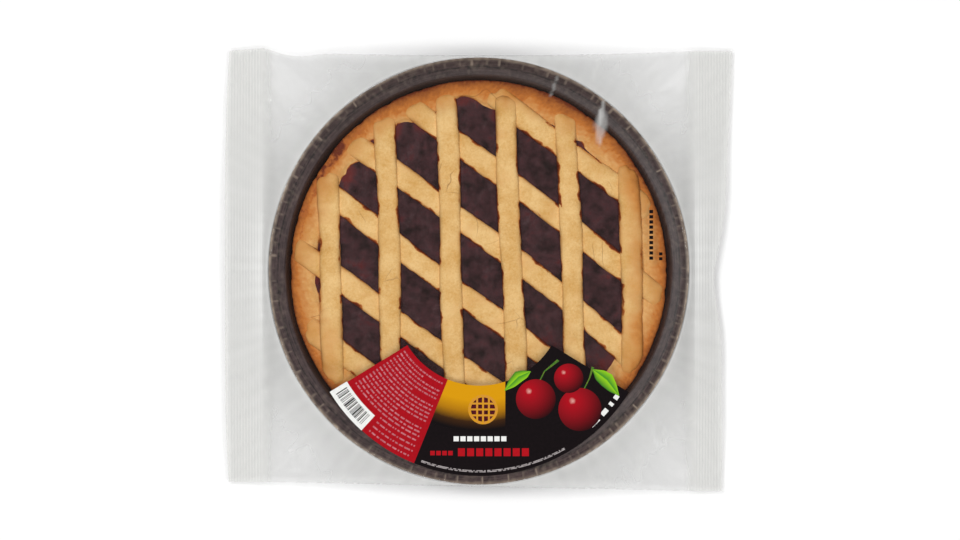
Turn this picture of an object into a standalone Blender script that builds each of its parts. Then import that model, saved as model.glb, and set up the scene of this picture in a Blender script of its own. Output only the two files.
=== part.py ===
"""Jam crostata: a lattice-topped jam tart in its brown paperboard baking case,
sealed in a clear flow-wrap bag with a crimped seal at each end.

Metres, +Z up. The origin lies under the middle of the case, where the bag rests.
+X runs along the bag, from one end seal to the other, and +Y across it.
"""

import math
import random

import bmesh
import bpy
from mathutils import Vector

MM = 0.001
GAP = 0.3 * MM  # air left between pieces that touch
TURN = 2 * math.pi

# Baking case: pressed paperboard with a flat flange and a lip that turns down
CASE_OVAL = (0.9925, 1.0075)  # the lip is a little wider across the bag
CASE_LIP_RADIUS = 122.5 * MM
CASE_FLANGE_RADIUS = 117.0 * MM
CASE_WALL_TOP_RADIUS = 112.4 * MM
CASE_FLOOR_RADIUS = 104.4 * MM
CASE_HEIGHT = 22.0 * MM
CASE_BOARD = 0.8 * MM
CASE_UNDERSIDE = 0.7 * MM
CASE_LIP_DROP = 1.0 * MM
CASE_WALL_BOW = 1.25  # above 1, the wall rises steeper towards its top
CASE_WALL_BANDS = (0.35, 0.7)
CASE_STEPS = 72

# Pastry shell: a floor with a raised, uneven edge
CRUST_STEPS = 90
CRUST_UNDERSIDE = CASE_UNDERSIDE + CASE_BOARD + GAP
CRUST_FLOOR = 6.3 * MM
CRUST_CREST = 13.1 * MM
CRUST_CREST_RADIUS = 103.0 * MM
CRUST_UNEVEN_HEIGHT = 0.55 * MM
CRUST_UNEVEN_EDGE = 0.7 * MM
CRUST_BROW = 1.0 * MM  # drop from the crest to the outer edge

# Jam filling: a lumpy disc with a wandering edge
JAM_TOP = 10.4 * MM
JAM_UNDERSIDE = CRUST_FLOOR + GAP
JAM_RADIUS = 93.6 * MM
JAM_UNEVEN_EDGE = 0.6 * MM
# where jam reaches further out: towards (degrees), by (metres), over (degrees)
JAM_LOBES = ((95, 8.0 * MM, 6.0), (143, 2.8 * MM, 6.0), (270, 2.5 * MM, 30.0))
JAM_LUMP = 0.22 * MM
JAM_RINGS = (0.25, 0.5, 0.73, 0.9, 1.0)
JAM_STEPS = CRUST_STEPS

# Lattice: six strips laid on the slant, and six across them that run along Y
STRIP_END_RADIUS = 104.0 * MM
STRIP_STEP = 6.4 * MM
STRIP_TIPS = (0.0, 1.3 * MM, 3.6 * MM)  # stations that round each end
TIP_NARROW = 0.3
TIP_LENGTH = 3.6 * MM
TIP_SINK = 0.6  # share of its thickness that an end loses as it melts in
TIP_REACH = 14.0 * MM
END_CUT = 12.0 * MM  # length over which an end is sheared towards the round
END_CUT_LIMIT = 2.6 * MM
STRIP_CLEARANCE = 0.36 * MM
STRIP_FALL = 0.26  # steepest slope at which a strip comes down from a crossing
UNDER_WIDTH = 13.2 * MM
UNDER_THICKNESS = 3.1 * MM
UNDER_PRESSED = 2.0 * MM  # thickness where a top strip lies across
UNDER_SLANT = math.radians(-37.4)
UNDER_PLACES = [place * MM for place in (87.0, 52.1, 18.2, -16.6, -51.3, -86.3)]
UNDER_LEANS = (0.004, 0.0, 0.0, 0.004, 0.031, 0.0)
UNDER_BENDS = (0.0, 0.0, -0.41, 0.0, 0.0, 0.0)  # per metre of length squared
# Millimetres by which the start and the end of a strip reach on or fall short
UNDER_ENDS = ((0, 0), (0, 2.0), (0, 0), (1.5, 0), (2.5, 0), (0, 0))
TOP_WIDTH = 12.6 * MM
TOP_THICKNESS = 2.9 * MM
TOP_SLANT = math.radians(-90.0)
TOP_PLACES = [place * MM for place in (-86.2, -52.0, -16.0, 19.2, 54.0, 88.3)]
TOP_LEANS = (0.036, 0.026, 0.028, 0.041, 0.040, 0.022)
TOP_BENDS = (0.0,) * 6
TOP_ENDS = ((-3.0, 4.0), (-2.0, 0), (0, 0), (-1.5, 0), (2.0, 0), (3.0, 2.5))
STRIP_WANDER = 0.5 * MM
STRIP_END_SPREAD = 1.2 * MM
STRIP_WIDTH_SPREAD = 0.05

# Bag: film drawn thicker than it is, resting on the flange and under the case
FILM = 0.4 * MM
BAG_RAYS = 72
BAG_TOP = CASE_HEIGHT + 2 * FILM
BAG_REST_RADIUS = 106.8 * MM
BAG_CREASE_CLEARANCE = (0.8 * MM, 0.5 * MM)
BAG_HALF_LENGTH = 147.5 * MM
BAG_HALF_WIDTH = 128.0 * MM
SEAL_INNER = 125.4 * MM
SEAL_THICKNESS = 2 * FILM + GAP
SEAL_RISE_INNER = (8.0 * MM, 14.0 * MM)  # height at the corners and the middle
SEAL_RISE_OUTER = (5.5 * MM, 9.0 * MM)
FOLD_RISE = 21.0 * MM  # height of the side folds beside the case
FOLD_MIDDLE = 124.7 * MM
RIGHT_END_SHORT = 6.2 * MM  # how much shorter the +X end is, away from its corner
RIGHT_END_DENT = 4.4 * MM
LEFT_CORNER_ROUND = 2.4 * MM


def clear_scene():
    """Removes whatever the scene holds."""
    for thing in list(bpy.data.objects):
        bpy.data.objects.remove(thing, do_unlink=True)


def linear(channel):
    """One sRGB channel, 0 to 1, as linear light."""
    if channel <= 0.04045:
        return channel / 12.92
    return ((channel + 0.055) / 1.055) ** 2.4


def make_material(name, hex_colour, roughness, metallic=0.0, alpha=1.0):
    """A Principled material from an sRGB hex colour."""
    mat = bpy.data.materials.new(name)
    mat.use_nodes = True
    shader = mat.node_tree.nodes["Principled BSDF"]
    channels = [int(hex_colour[i : i + 2], 16) / 255 for i in (0, 2, 4)]
    shader.inputs["Base Color"].default_value = [linear(c) for c in channels] + [1.0]
    shader.inputs["Roughness"].default_value = roughness
    shader.inputs["Metallic"].default_value = metallic
    shader.inputs["Alpha"].default_value = alpha
    return mat


def add_object(name, bm, mat, collection, smooth_angle=40.0):
    """Puts a finished bmesh in the scene as a smooth-shaded object."""
    mesh = bpy.data.meshes.new(name)
    bm.to_mesh(mesh)
    bm.free()
    mesh.shade_smooth()
    mesh.set_sharp_from_angle(angle=math.radians(smooth_angle))
    mesh.materials.append(mat)
    made = bpy.data.objects.new(name, mesh)
    collection.objects.link(made)
    return made


def smooth_step(value, low, high):
    """0 below low, 1 above high, and an even S between them."""
    part = min(max((value - low) / (high - low), 0.0), 1.0)
    return part * part * (3 - 2 * part)


def mix(low, high, part):
    return low + (high - low) * part


class Uneven:
    """A closed wave round a circle, from -1 to 1, as hand-shaped dough has."""

    def __init__(self, seed, counts):
        draw = random.Random(seed)
        self.terms = [(count, draw.uniform(0, TURN)) for count in counts]

    def at(self, angle):
        total = sum(math.sin(count * angle + phase) for count, phase in self.terms)
        return total / len(self.terms)


CREST_WAVE = Uneven(3, (2, 5, 9, 14))
EDGE_WAVE = Uneven(5, (3, 7, 12, 19))
SHORE_WAVE = Uneven(8, (2, 5, 8, 13))
LUMP_WAVE = Uneven(13, (3, 4, 7))


def shore_radius(angle):
    """Where the jam meets the inner slope of the pastry edge."""
    radius = JAM_RADIUS + JAM_UNEVEN_EDGE * SHORE_WAVE.at(angle)
    for towards, reach, width in JAM_LOBES:
        off = (angle - math.radians(towards) + math.pi) % TURN - math.pi
        radius += reach * math.exp(-((off / math.radians(width)) ** 2))
    return radius


def crest_height(angle):
    return CRUST_CREST + CRUST_UNEVEN_HEIGHT * CREST_WAVE.at(angle)


def case_lean():
    """How far the case's wall leans out for each metre of its height."""
    floor = CASE_UNDERSIDE + CASE_BOARD
    return (CASE_WALL_TOP_RADIUS - CASE_FLOOR_RADIUS) / (CASE_HEIGHT - floor)


def wall_point(share):
    """Radius and height of the case's inner wall at a share of its height."""
    floor = CASE_UNDERSIDE + CASE_BOARD
    lean = 1 - (1 - share) ** CASE_WALL_BOW
    return mix(CASE_FLOOR_RADIUS, CASE_WALL_TOP_RADIUS, lean), mix(floor, CASE_HEIGHT, share)


def case_room(height, angle):
    """Radius free inside the case at a height, towards an angle."""
    bands = [wall_point(share) for share in (0.0, *CASE_WALL_BANDS, 1.0)]
    oval = 1 / math.hypot(math.cos(angle) / CASE_OVAL[0], math.sin(angle) / CASE_OVAL[1])
    for (r0, z0), (r1, z1) in zip(bands, bands[1:]):
        if height <= z1:
            break
    return mix(r0, r1, (height - z0) / (z1 - z0)) * oval - GAP


def crust_edge(angle):
    """Profile of the raised edge, from the jam outwards, as (radius, height)."""
    shore = shore_radius(angle)
    crest = crest_height(angle)
    inset = CRUST_UNEVEN_EDGE * (0.5 - 0.5 * EDGE_WAVE.at(angle))
    outer = case_room(crest - CRUST_BROW, angle) - inset
    low = CRUST_UNDERSIDE + 1.0 * MM
    return [
        (shore - 1.2 * MM, CRUST_FLOOR),
        (shore, JAM_TOP - 0.6 * MM),
        (mix(shore, CRUST_CREST_RADIUS, 0.35), mix(JAM_TOP, crest, 0.62)),
        (mix(shore, CRUST_CREST_RADIUS, 0.68), mix(JAM_TOP, crest, 0.92)),
        (CRUST_CREST_RADIUS, crest),
        (mix(CRUST_CREST_RADIUS, outer, 0.6), crest - 0.35 * CRUST_BROW),
        (outer, crest - CRUST_BROW),
        (case_room(crest - 5.0 * MM, angle) - 1.2 * inset, crest - 5.0 * MM),
        (case_room(low, angle) - GAP, low),
        (case_room(CRUST_UNDERSIDE, angle) - 1.8 * MM, CRUST_UNDERSIDE),
    ]


def jam_height(x, y):
    """Height of the jam's lumpy top."""
    lumps = math.sin(x / (9.0 * MM)) * math.cos(y / (11.0 * MM) + 0.8)
    slow = LUMP_WAVE.at(math.atan2(y, x)) * min(math.hypot(x, y) / JAM_RADIUS, 1.0)
    return JAM_TOP + JAM_LUMP * (0.6 * lumps + 0.4 * slow)


def ground_height(x, y):
    """Height of what a strip is laid on: the jam, or the pastry edge around it."""
    radius = math.hypot(x, y)
    angle = math.atan2(y, x)
    slope = crust_edge(angle)[1:6]
    if radius <= slope[0][0]:
        return jam_height(x, y)
    for (r0, z0), (r1, z1) in zip(slope, slope[1:]):
        if radius <= r1:
            edge = mix(z0, z1, (radius - r0) / (r1 - r0))
            return max(edge, JAM_TOP + JAM_LUMP)
    return slope[-1][1]


def skin(rings, close_first, close_last):
    """A bmesh through rings of points, each ring joined to the next."""
    bm = bmesh.new()
    loops = [[bm.verts.new(point) for point in ring] for ring in rings]
    for near, far in zip(loops, loops[1:]):
        count = len(near)
        for i in range(count):
            j = (i + 1) % count
            bm.faces.new((near[i], near[j], far[j], far[i]))
    if close_first:
        bm.faces.new(list(reversed(loops[0])))
    if close_last:
        bm.faces.new(loops[-1])
    bmesh.ops.recalc_face_normals(bm, faces=bm.faces[:])
    return bm


def polar(radius, angle, height):
    return Vector((radius * math.cos(angle), radius * math.sin(angle), height))


def around(steps):
    return [TURN * i / steps for i in range(steps)]


def make_case(collection):
    """The baking case, turned from its board's section."""
    floor = CASE_UNDERSIDE + CASE_BOARD
    lip = CASE_HEIGHT - CASE_LIP_DROP
    shoulder = 1.0 * MM
    lean = case_lean()
    board_across = CASE_BOARD * math.hypot(1, lean)
    bands = [wall_point(share) for share in CASE_WALL_BANDS]
    inside = [
        (0.0, floor),
        (CASE_FLOOR_RADIUS - shoulder, floor),
        (CASE_FLOOR_RADIUS + lean * shoulder, floor + shoulder),
        *bands,
        (CASE_WALL_TOP_RADIUS - 0.5 * lean * shoulder, CASE_HEIGHT - shoulder),
        (CASE_WALL_TOP_RADIUS + 0.6 * shoulder, CASE_HEIGHT),
        (CASE_FLANGE_RADIUS, CASE_HEIGHT),
        (mix(CASE_FLANGE_RADIUS, CASE_LIP_RADIUS, 0.6), CASE_HEIGHT - 0.35 * CASE_LIP_DROP),
        (CASE_LIP_RADIUS, lip),
    ]
    outside = [
        (CASE_LIP_RADIUS, lip - CASE_BOARD),
        (mix(CASE_FLANGE_RADIUS, CASE_LIP_RADIUS, 0.5), CASE_HEIGHT - CASE_BOARD - 0.3 * MM),
        (CASE_WALL_TOP_RADIUS + board_across + 0.4 * MM, CASE_HEIGHT - CASE_BOARD),
        (CASE_WALL_TOP_RADIUS + board_across - 0.6 * lean * shoulder, CASE_HEIGHT - 2 * shoulder),
        *[(radius + board_across, height) for radius, height in reversed(bands)],
        (CASE_FLOOR_RADIUS + board_across, floor + 0.3 * shoulder),
        (CASE_FLOOR_RADIUS - 0.2 * shoulder, CASE_UNDERSIDE),
        (0.0, CASE_UNDERSIDE),
    ]
    profile = [Vector((radius, 0, height)) for radius, height in inside + outside]
    bm = bmesh.new()
    verts = [bm.verts.new(point) for point in profile]
    for a, b in zip(verts, verts[1:]):
        bm.edges.new((a, b))
    case = add_object("baking_case", bm, MATERIALS["paperboard"], collection)
    turn = case.modifiers.new("Turned section", "SCREW")
    turn.axis = "Z"
    turn.angle = TURN
    turn.steps = CASE_STEPS
    turn.render_steps = CASE_STEPS
    turn.use_merge_vertices = True
    turn.merge_threshold = 0.00001
    case.scale = (CASE_OVAL[0], CASE_OVAL[1], 1.0)
    return case


def make_crust(collection):
    """The pastry shell: the edge's profile carried round, closed over its floor."""
    angles = around(CRUST_STEPS)
    edges = [crust_edge(angle) for angle in angles]
    rings = []
    for place in range(len(edges[0])):
        rings.append([polar(*_at(edge[place], angle)) for edge, angle in zip(edges, angles)])
    bm = skin(rings, close_first=True, close_last=True)
    return add_object("crust", bm, MATERIALS["pastry"], collection)


def _at(point, angle):
    """Radius, angle and height of a profile point."""
    return point[0], angle, point[1]


def make_jam(collection):
    """The jam: rings out to its wandering edge, then down the pastry's slope."""
    angles = around(JAM_STEPS)
    rings = []
    for share in JAM_RINGS:
        ring = []
        for angle in angles:
            point = polar(share * (shore_radius(angle) - 0.6 * MM), angle, 0)
            point.z = jam_height(point.x, point.y) - (0.5 * MM if share == 1.0 else 0.0)
            ring.append(point)
        rings.append(ring)
    rings.append([polar(shore_radius(a) - 1.9 * MM, a, JAM_UNDERSIDE) for a in angles])
    bm = skin(rings, close_first=True, close_last=True)
    return add_object("jam", bm, MATERIALS["jam"], collection)


class Strip:
    """One strip of dough: a path over the tart and what it lies on."""

    def __init__(self, name, course, slant, width, thickness, seed):
        draw = random.Random(seed)
        self.name = name
        self.along = Vector((math.cos(slant), math.sin(slant), 0))
        self.across = Vector((-self.along.y, self.along.x, 0))
        place, self.lean, self.bend, ends = course
        self.place = place
        self.width = width
        self.thickness = thickness
        self.phase = draw.uniform(0, TURN)
        self.fat = draw.uniform(0, TURN)
        reach = math.sqrt(STRIP_END_RADIUS**2 - place**2)
        self.start = -reach - ends[0] * MM + draw.uniform(-1, 1) * STRIP_END_SPREAD
        self.end = reach + ends[1] * MM + draw.uniform(-1, 1) * STRIP_END_SPREAD
        self.pressed = []
        self.heights = []

    def stations(self):
        """Distances along the strip of its cross-sections, closer at the ends."""
        first = self.start + STRIP_TIPS[-1]
        last = self.end - STRIP_TIPS[-1]
        count = math.ceil((last - first) / STRIP_STEP)
        body = [mix(first, last, i / count) for i in range(1, count)]
        tips = [self.start + tip for tip in STRIP_TIPS]
        return tips + body + [self.end - tip for tip in reversed(STRIP_TIPS)]

    def middle(self, along):
        """Point of the strip's centre line, in plan."""
        wander = STRIP_WANDER * math.sin(along / (23.0 * MM) + self.phase)
        side = self.place + (self.lean + self.bend * along) * along + wander
        return self.along * along + self.across * side

    def half_width(self, along):
        swell = STRIP_WIDTH_SPREAD * math.sin(along / (14.0 * MM) + self.fat)
        inside = min(max(min(along - self.start, self.end - along), 0.0), TIP_LENGTH)
        short = 1 - inside / TIP_LENGTH
        return 0.5 * self.width * (1 + swell) * (1 - TIP_NARROW * short * short)

    def depth(self, along):
        """Thickness, less where another strip lies across."""
        thin = max((bump(along - at, 12.0 * MM) for at in self.pressed), default=0.0)
        melt = 1 - smooth_step(min(along - self.start, self.end - along), 0.0, TIP_REACH)
        return mix(self.thickness, UNDER_PRESSED, thin) * (1 - TIP_SINK * melt)

    def end_shift(self, along, side):
        """How far a point beside the centre line is moved along, so that both ends
        are cut to the round of the tart."""
        offset = side * 0.5 * self.width
        reach = math.sqrt(STRIP_END_RADIUS**2 - self.place**2)
        cut = math.sqrt(STRIP_END_RADIUS**2 - (self.place + offset) ** 2) - reach
        cut = min(max(cut, -END_CUT_LIMIT), END_CUT_LIMIT)
        return cut * (bump(along - self.end, END_CUT) - bump(along - self.start, END_CUT))

    def place_of(self, x, y):
        """Distances along and across the strip of a point in plan."""
        along = Vector((x, y, 0)).dot(self.along)
        across = (Vector((x, y, 0)) - self.middle(along)).dot(self.across)
        return along, across

    def spot(self, along, side):
        """Plan point at a station, side running from -1 to 1 across the strip."""
        moved = along + self.end_shift(along, side)
        return self.middle(moved) + self.across * (side * self.half_width(along))

    def rise(self, along):
        """Height of the underside, read between the stations."""
        stops = self.stations()
        for i in range(len(stops) - 1):
            if along <= stops[i + 1]:
                part = (along - stops[i]) / (stops[i + 1] - stops[i])
                return mix(self.heights[i], self.heights[i + 1], min(max(part, 0.0), 1.0))
        return self.heights[-1]

    def top_over(self, x, y):
        """Height of the strip's top at a point in plan, or None beside it."""
        along, across = self.place_of(x, y)
        margin = 1.2 * MM
        room = margin + END_CUT
        if not self.start - room <= along <= self.end + room:
            return None
        if abs(across) > self.half_width(along) + margin:
            return None
        along -= self.end_shift(along, across / self.half_width(along))
        along = min(max(along, self.start), self.end)
        return self.rise(along) + self.depth(along)

    def lay(self, below):
        """Rests the strip on the ground and on the strips below it."""
        stops = self.stations()
        probe = STRIP_STEP / 3
        found = []
        for along in stops:
            highest = 0.0
            for forward in (-3, -2, -1, 0, 1, 2, 3):
                at = along + forward * probe
                for side in (-1.05, -0.55, 0.0, 0.55, 1.05):
                    spot = self.spot(at, side)
                    highest = max(highest, support(spot.x, spot.y, below))
            found.append(highest + STRIP_CLEARANCE)
        self.heights = []
        for here in stops:
            held = [z - STRIP_FALL * abs(here - there) for there, z in zip(stops, found)]
            self.heights.append(max(held))

    def section(self, along, height):
        """A strip's cross-section: flat beneath and crowned on top."""
        depth = self.depth(along)
        shape = [(-0.94, 0.0), (-1.0, 0.42), (-0.66, 0.86), (0.0, 1.0)]
        shape += [(-side, up) for side, up in reversed(shape[:3])]
        ring = []
        for side, up in shape:
            point = self.spot(along, side)
            point.z = height + up * depth
            ring.append(point)
        return ring

    def build(self, collection):
        rings = [self.section(s, z) for s, z in zip(self.stations(), self.heights)]
        bm = skin(rings, close_first=True, close_last=True)
        return add_object(self.name, bm, MATERIALS["lattice"], collection)


def bump(distance, reach):
    """1 at a place, falling evenly to 0 at reach on either side."""
    return 1 - smooth_step(abs(distance), 0.0, reach)


def support(x, y, below):
    """Height of the highest thing under a point of a strip."""
    tops = [strip.top_over(x, y) for strip in below]
    return max([ground_height(x, y)] + [top for top in tops if top is not None])


def crossing(strip, other):
    """Distance along strip at which other's centre line crosses it, or None."""
    near = [(abs(other.place_of(*strip.middle(s).xy)[1]), s) for s in strip.stations()]
    distance, along = min(near)
    return along if distance < STRIP_STEP else None


def make_strips(collection):
    """Lays the slanting strips first, then those across them."""
    under = [
        Strip(f"strip_under_{i + 1}", course, UNDER_SLANT, UNDER_WIDTH, UNDER_THICKNESS, 20 + i)
        for i, course in enumerate(zip(UNDER_PLACES, UNDER_LEANS, UNDER_BENDS, UNDER_ENDS))
    ]
    top = [
        Strip(f"strip_top_{i + 1}", course, TOP_SLANT, TOP_WIDTH, TOP_THICKNESS, 40 + i)
        for i, course in enumerate(zip(TOP_PLACES, TOP_LEANS, TOP_BENDS, TOP_ENDS))
    ]
    for low in under:
        crossed = [crossing(low, high) for high in top]
        low.pressed = [along for along in crossed if along is not None]
        low.lay([])
    for high in top:
        high.lay(under)
    for strip in under + top:
        strip.build(collection)


def fold_y(x, side):
    """Where the bag's side fold runs, on the +Y side (1) or the -Y side (-1)."""
    part = x / SEAL_INNER
    spare = BAG_HALF_WIDTH - FOLD_MIDDLE
    if side > 0:
        return FOLD_MIDDLE + spare * part * part
    return -(FOLD_MIDDLE + spare * (0.82 * part + 0.18 * part * part))


def fold_height(x):
    """Height of a side fold: up at the case's lip, down at the end seals."""
    low = SEAL_RISE_INNER[0]
    return mix(FOLD_RISE, low, smooth_step(abs(x), 5.0 * MM, SEAL_INNER + 20 * MM) * 1.12)


def seal_height(y, rises):
    """Height of an end seal: it droops towards the corners."""
    part = y / BAG_HALF_WIDTH
    return mix(rises[1], rises[0], part * part)


def end_x(y, side):
    """How far an end seal reaches, on the +X end (1) or the -X end (-1)."""
    part = y / BAG_HALF_WIDTH
    if side < 0:
        return -BAG_HALF_LENGTH + LEFT_CORNER_ROUND * part**4
    short = RIGHT_END_SHORT * (1 - min(max(part, 0.0), 1.0))
    dent = RIGHT_END_DENT * math.exp(-(((y + 4 * MM) / (24 * MM)) ** 2))
    return BAG_HALF_LENGTH - short - dent * (1 - max(part, 0.0) ** 2)


def bag_outline(angle):
    """The bag's edge inside the end seals on a ray: plan point and height."""
    c, s = math.cos(angle), math.sin(angle)
    if abs(c) >= abs(s) - 1e-9:
        x = math.copysign(SEAL_INNER, c)
        y = fold_y(x, math.copysign(1, s)) * abs(s / c)
        return Vector((x, y, seal_height(y, SEAL_RISE_INNER)))
    x = SEAL_INNER * c / abs(s)
    low = seal_height(BAG_HALF_WIDTH, SEAL_RISE_INNER)
    return Vector((x, fold_y(x, math.copysign(1, s)), max(fold_height(x), low)))


def make_bag(collection):
    """The film: a sheet over the case and one under it, joined at the folds and
    lying close together through the end seals, with a wall of its own."""
    angles = around(BAG_RAYS)
    edge = [bag_outline(angle) for angle in angles]
    half = Vector((0, 0, 0.5 * SEAL_THICKNESS))
    crease = [
        Vector(
            (
                (CASE_LIP_RADIUS * CASE_OVAL[0] + BAG_CREASE_CLEARANCE[0]) * math.cos(a),
                (CASE_LIP_RADIUS * CASE_OVAL[1] + BAG_CREASE_CLEARANCE[1]) * math.sin(a),
                BAG_TOP,
            )
        )
        for a in angles
    ]
    rest = [polar(BAG_REST_RADIUS, a, 0.0) for a in angles]
    upper = [crease]
    upper += [[c.lerp(e + half, t) for c, e in zip(crease, edge)] for t in (0.5, 1.0)]
    lower = [rest]
    for t in (0.33, 0.66, 1.0):
        ring = []
        for low, high in zip(rest, edge):
            point = low.lerp(high - half, t)
            point.z = (high - half).z * t**1.2
            ring.append(point)
        lower.append(ring)

    bm = bmesh.new()
    top = [[bm.verts.new(point) for point in ring] for ring in upper]
    bottom = [[bm.verts.new(point) for point in ring] for ring in lower]
    bm.faces.new(top[0])
    bm.faces.new(list(reversed(bottom[0])))
    for near, far in list(zip(top, top[1:])) + list(zip(bottom, bottom[1:])):
        for i in range(BAG_RAYS):
            j = (i + 1) % BAG_RAYS
            bm.faces.new((near[i], near[j], far[j], far[i]))

    corner = BAG_RAYS // 8
    tips = {}
    for side, first in ((1, -corner), (-1, 3 * corner)):
        for i in range(first, first + 2 * corner + 1):
            y = edge[i % BAG_RAYS].y
            height = seal_height(y, SEAL_RISE_OUTER)
            spot = Vector((end_x(y, side), y, height))
            tips[side, i] = bm.verts.new(spot + half), bm.verts.new(spot - half)
        for i in range(first, first + 2 * corner):
            a, b = i % BAG_RAYS, (i + 1) % BAG_RAYS
            for sheet, layer in ((top, 0), (bottom, 1)):
                far_a, far_b = tips[side, i][layer], tips[side, i + 1][layer]
                bm.faces.new((sheet[-1][a], sheet[-1][b], far_b, far_a))
        for i in (first, first + 2 * corner):
            upper_tip, lower_tip = tips[side, i]
            k = i % BAG_RAYS
            bm.faces.new((top[-1][k], bottom[-1][k], lower_tip, upper_tip))
    for i in range(BAG_RAYS):
        j = (i + 1) % BAG_RAYS
        on_fold = abs(edge[i].x) <= SEAL_INNER and abs(edge[j].x) <= SEAL_INNER
        if on_fold and corner <= i % (BAG_RAYS // 2) < 3 * corner:
            bm.faces.new((top[-1][i], top[-1][j], bottom[-1][j], bottom[-1][i]))
    bmesh.ops.recalc_face_normals(bm, faces=bm.faces[:])
    bag = add_object("bag_film", bm, MATERIALS["film"], collection)
    wall = bag.modifiers.new("Film wall", "SOLIDIFY")
    wall.thickness = FILM
    wall.offset = -1.0
    return bag


def main():
    clear_scene()
    parts = bpy.data.collections.new("jam_crostata")
    bpy.context.scene.collection.children.link(parts)
    MATERIALS.update(
        film=make_material("Clear polypropylene film", "F4F6F7", 0.12, alpha=0.2),
        paperboard=make_material("Brown baking paperboard", "5E4A3E", 0.55),
        pastry=make_material("Baked shortcrust edge", "C08A4A", 0.6),
        lattice=make_material("Baked shortcrust lattice", "DDB473", 0.6),
        jam=make_material("Dark berry jam", "44292C", 0.22),
    )
    make_bag(parts)
    make_case(parts)
    make_crust(parts)
    make_jam(parts)
    make_strips(parts)


MATERIALS = {}

if __name__ == "__main__":
    main()
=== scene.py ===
"""Looks of a jam crostata in its baking case, sealed in a clear flow-wrap bag."""

import math
import random

import bpy
import numpy as np
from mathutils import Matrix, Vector, noise


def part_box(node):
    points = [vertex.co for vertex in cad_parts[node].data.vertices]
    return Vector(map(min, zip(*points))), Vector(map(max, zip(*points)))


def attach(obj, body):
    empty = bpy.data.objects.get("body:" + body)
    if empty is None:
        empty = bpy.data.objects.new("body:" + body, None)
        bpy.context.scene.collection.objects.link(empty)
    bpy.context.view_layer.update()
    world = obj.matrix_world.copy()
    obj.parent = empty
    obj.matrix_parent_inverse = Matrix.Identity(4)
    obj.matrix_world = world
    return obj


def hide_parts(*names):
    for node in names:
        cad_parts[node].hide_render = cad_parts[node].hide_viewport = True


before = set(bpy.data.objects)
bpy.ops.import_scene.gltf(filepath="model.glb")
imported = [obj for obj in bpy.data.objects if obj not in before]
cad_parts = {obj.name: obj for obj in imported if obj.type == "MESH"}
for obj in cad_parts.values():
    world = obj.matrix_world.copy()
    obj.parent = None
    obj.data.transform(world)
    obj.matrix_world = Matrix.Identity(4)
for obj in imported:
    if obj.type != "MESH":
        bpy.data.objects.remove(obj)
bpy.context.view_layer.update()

bl_info = {
    "name": "Jam crostata in a clear bag",
    "version": (1, 0, 0),
    "blender": (4, 5, 0),
    "location": "3D View > Sidebar > Crostata",
    "description": "Dresses the packed crostata with pastry, jam, board, film and print",
    "category": "Object",
}

MM = 0.001
TURN = 2 * math.pi
BODY = "root"

CASE_LOW, CASE_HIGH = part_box("baking_case")
JAM_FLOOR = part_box("jam")[0][2]
BAG_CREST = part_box("bag_film")[1][2]

# Baking case
CASE_RX = 0.5 * (CASE_HIGH[0] - CASE_LOW[0])
CASE_RY = 0.5 * (CASE_HIGH[1] - CASE_LOW[1])
CASE_R = 0.5 * (CASE_RX + CASE_RY)
CASE_TOP = CASE_HIGH[2]
CASE_FOOT = CASE_LOW[2]
BOARD = 0.8 * MM
FLANGE_OUTER = CASE_R - 5.5 * MM
WALL_TOP = CASE_R - 10.1 * MM
WALL_FOOT = CASE_R - 18.1 * MM
CASE_SEGMENTS = 1040
PLEAT_SEED = 31
PLEAT_HALF = 0.8 * MM
PLEAT_DEPTH = 0.3 * MM
LIP_NICK = 0.28 * MM

# Pastry shell and jam, on the same waves as the solids
CREST = 13.1 * MM
CREST_RADIUS = 103.0 * MM
CREST_UNEVEN = 0.55 * MM
EDGE_UNEVEN = 0.45 * MM
BROW_DROP = 1.0 * MM
WALL_BOW = 2.0
CRUST_FLOOR = JAM_FLOOR - 0.3 * MM
CRUST_SEGMENTS = 600
LEAK_TOWARDS = math.radians(148)  # where jam boiled over the edge
LEAK_REACH = math.radians(42)
JAM_TOP = 10.4 * MM
JAM_RADIUS = 96.0 * MM
SHORE_RADIUS = 93.4 * MM
SHORE_UNEVEN = 0.6 * MM
# lobes of jam that reach further out: degrees, millimetres, degrees of width
SHORE_LOBES = (
    (51.5, 2.0, 2.0),
    (63, 1.4, 3),
    (95, 8.0, 6),
    (118, 4.0, 4),
    (129.5, 4.6, 2.4),
    (143, 2.8, 6),
    (171, 1.4, 2.2),
    (184, 1.0, 2.6),
    (270, 2.5, 30),
)
JAM_LUMP = 0.22 * MM
JAM_SEGMENTS = 480

# Lattice
STRIP_END = 104.0 * MM
STRIP_LIMIT = 107.2 * MM
STRIP_STEP = 6.4 * MM
TIP_ROUND = 4.4 * MM
END_CUT = 12.0 * MM
END_CUT_LIMIT = 1.2 * MM
STRIP_FALL = 0.26
UNDER_THICKNESS = 3.1 * MM
UNDER_PRESSED = 2.0 * MM
UNDER_SLANT = math.radians(-37.4)
UNDER_PLACES = [place * MM for place in (87.0, 52.1, 18.2, -16.6, -51.3, -86.3)]
UNDER_LEANS = (0.004, 0.0, 0.0, 0.004, 0.031, 0.0)
UNDER_BENDS = (0.0, 0.0, -0.41, 0.0, 0.0, 0.0)  # per metre of length squared
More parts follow.
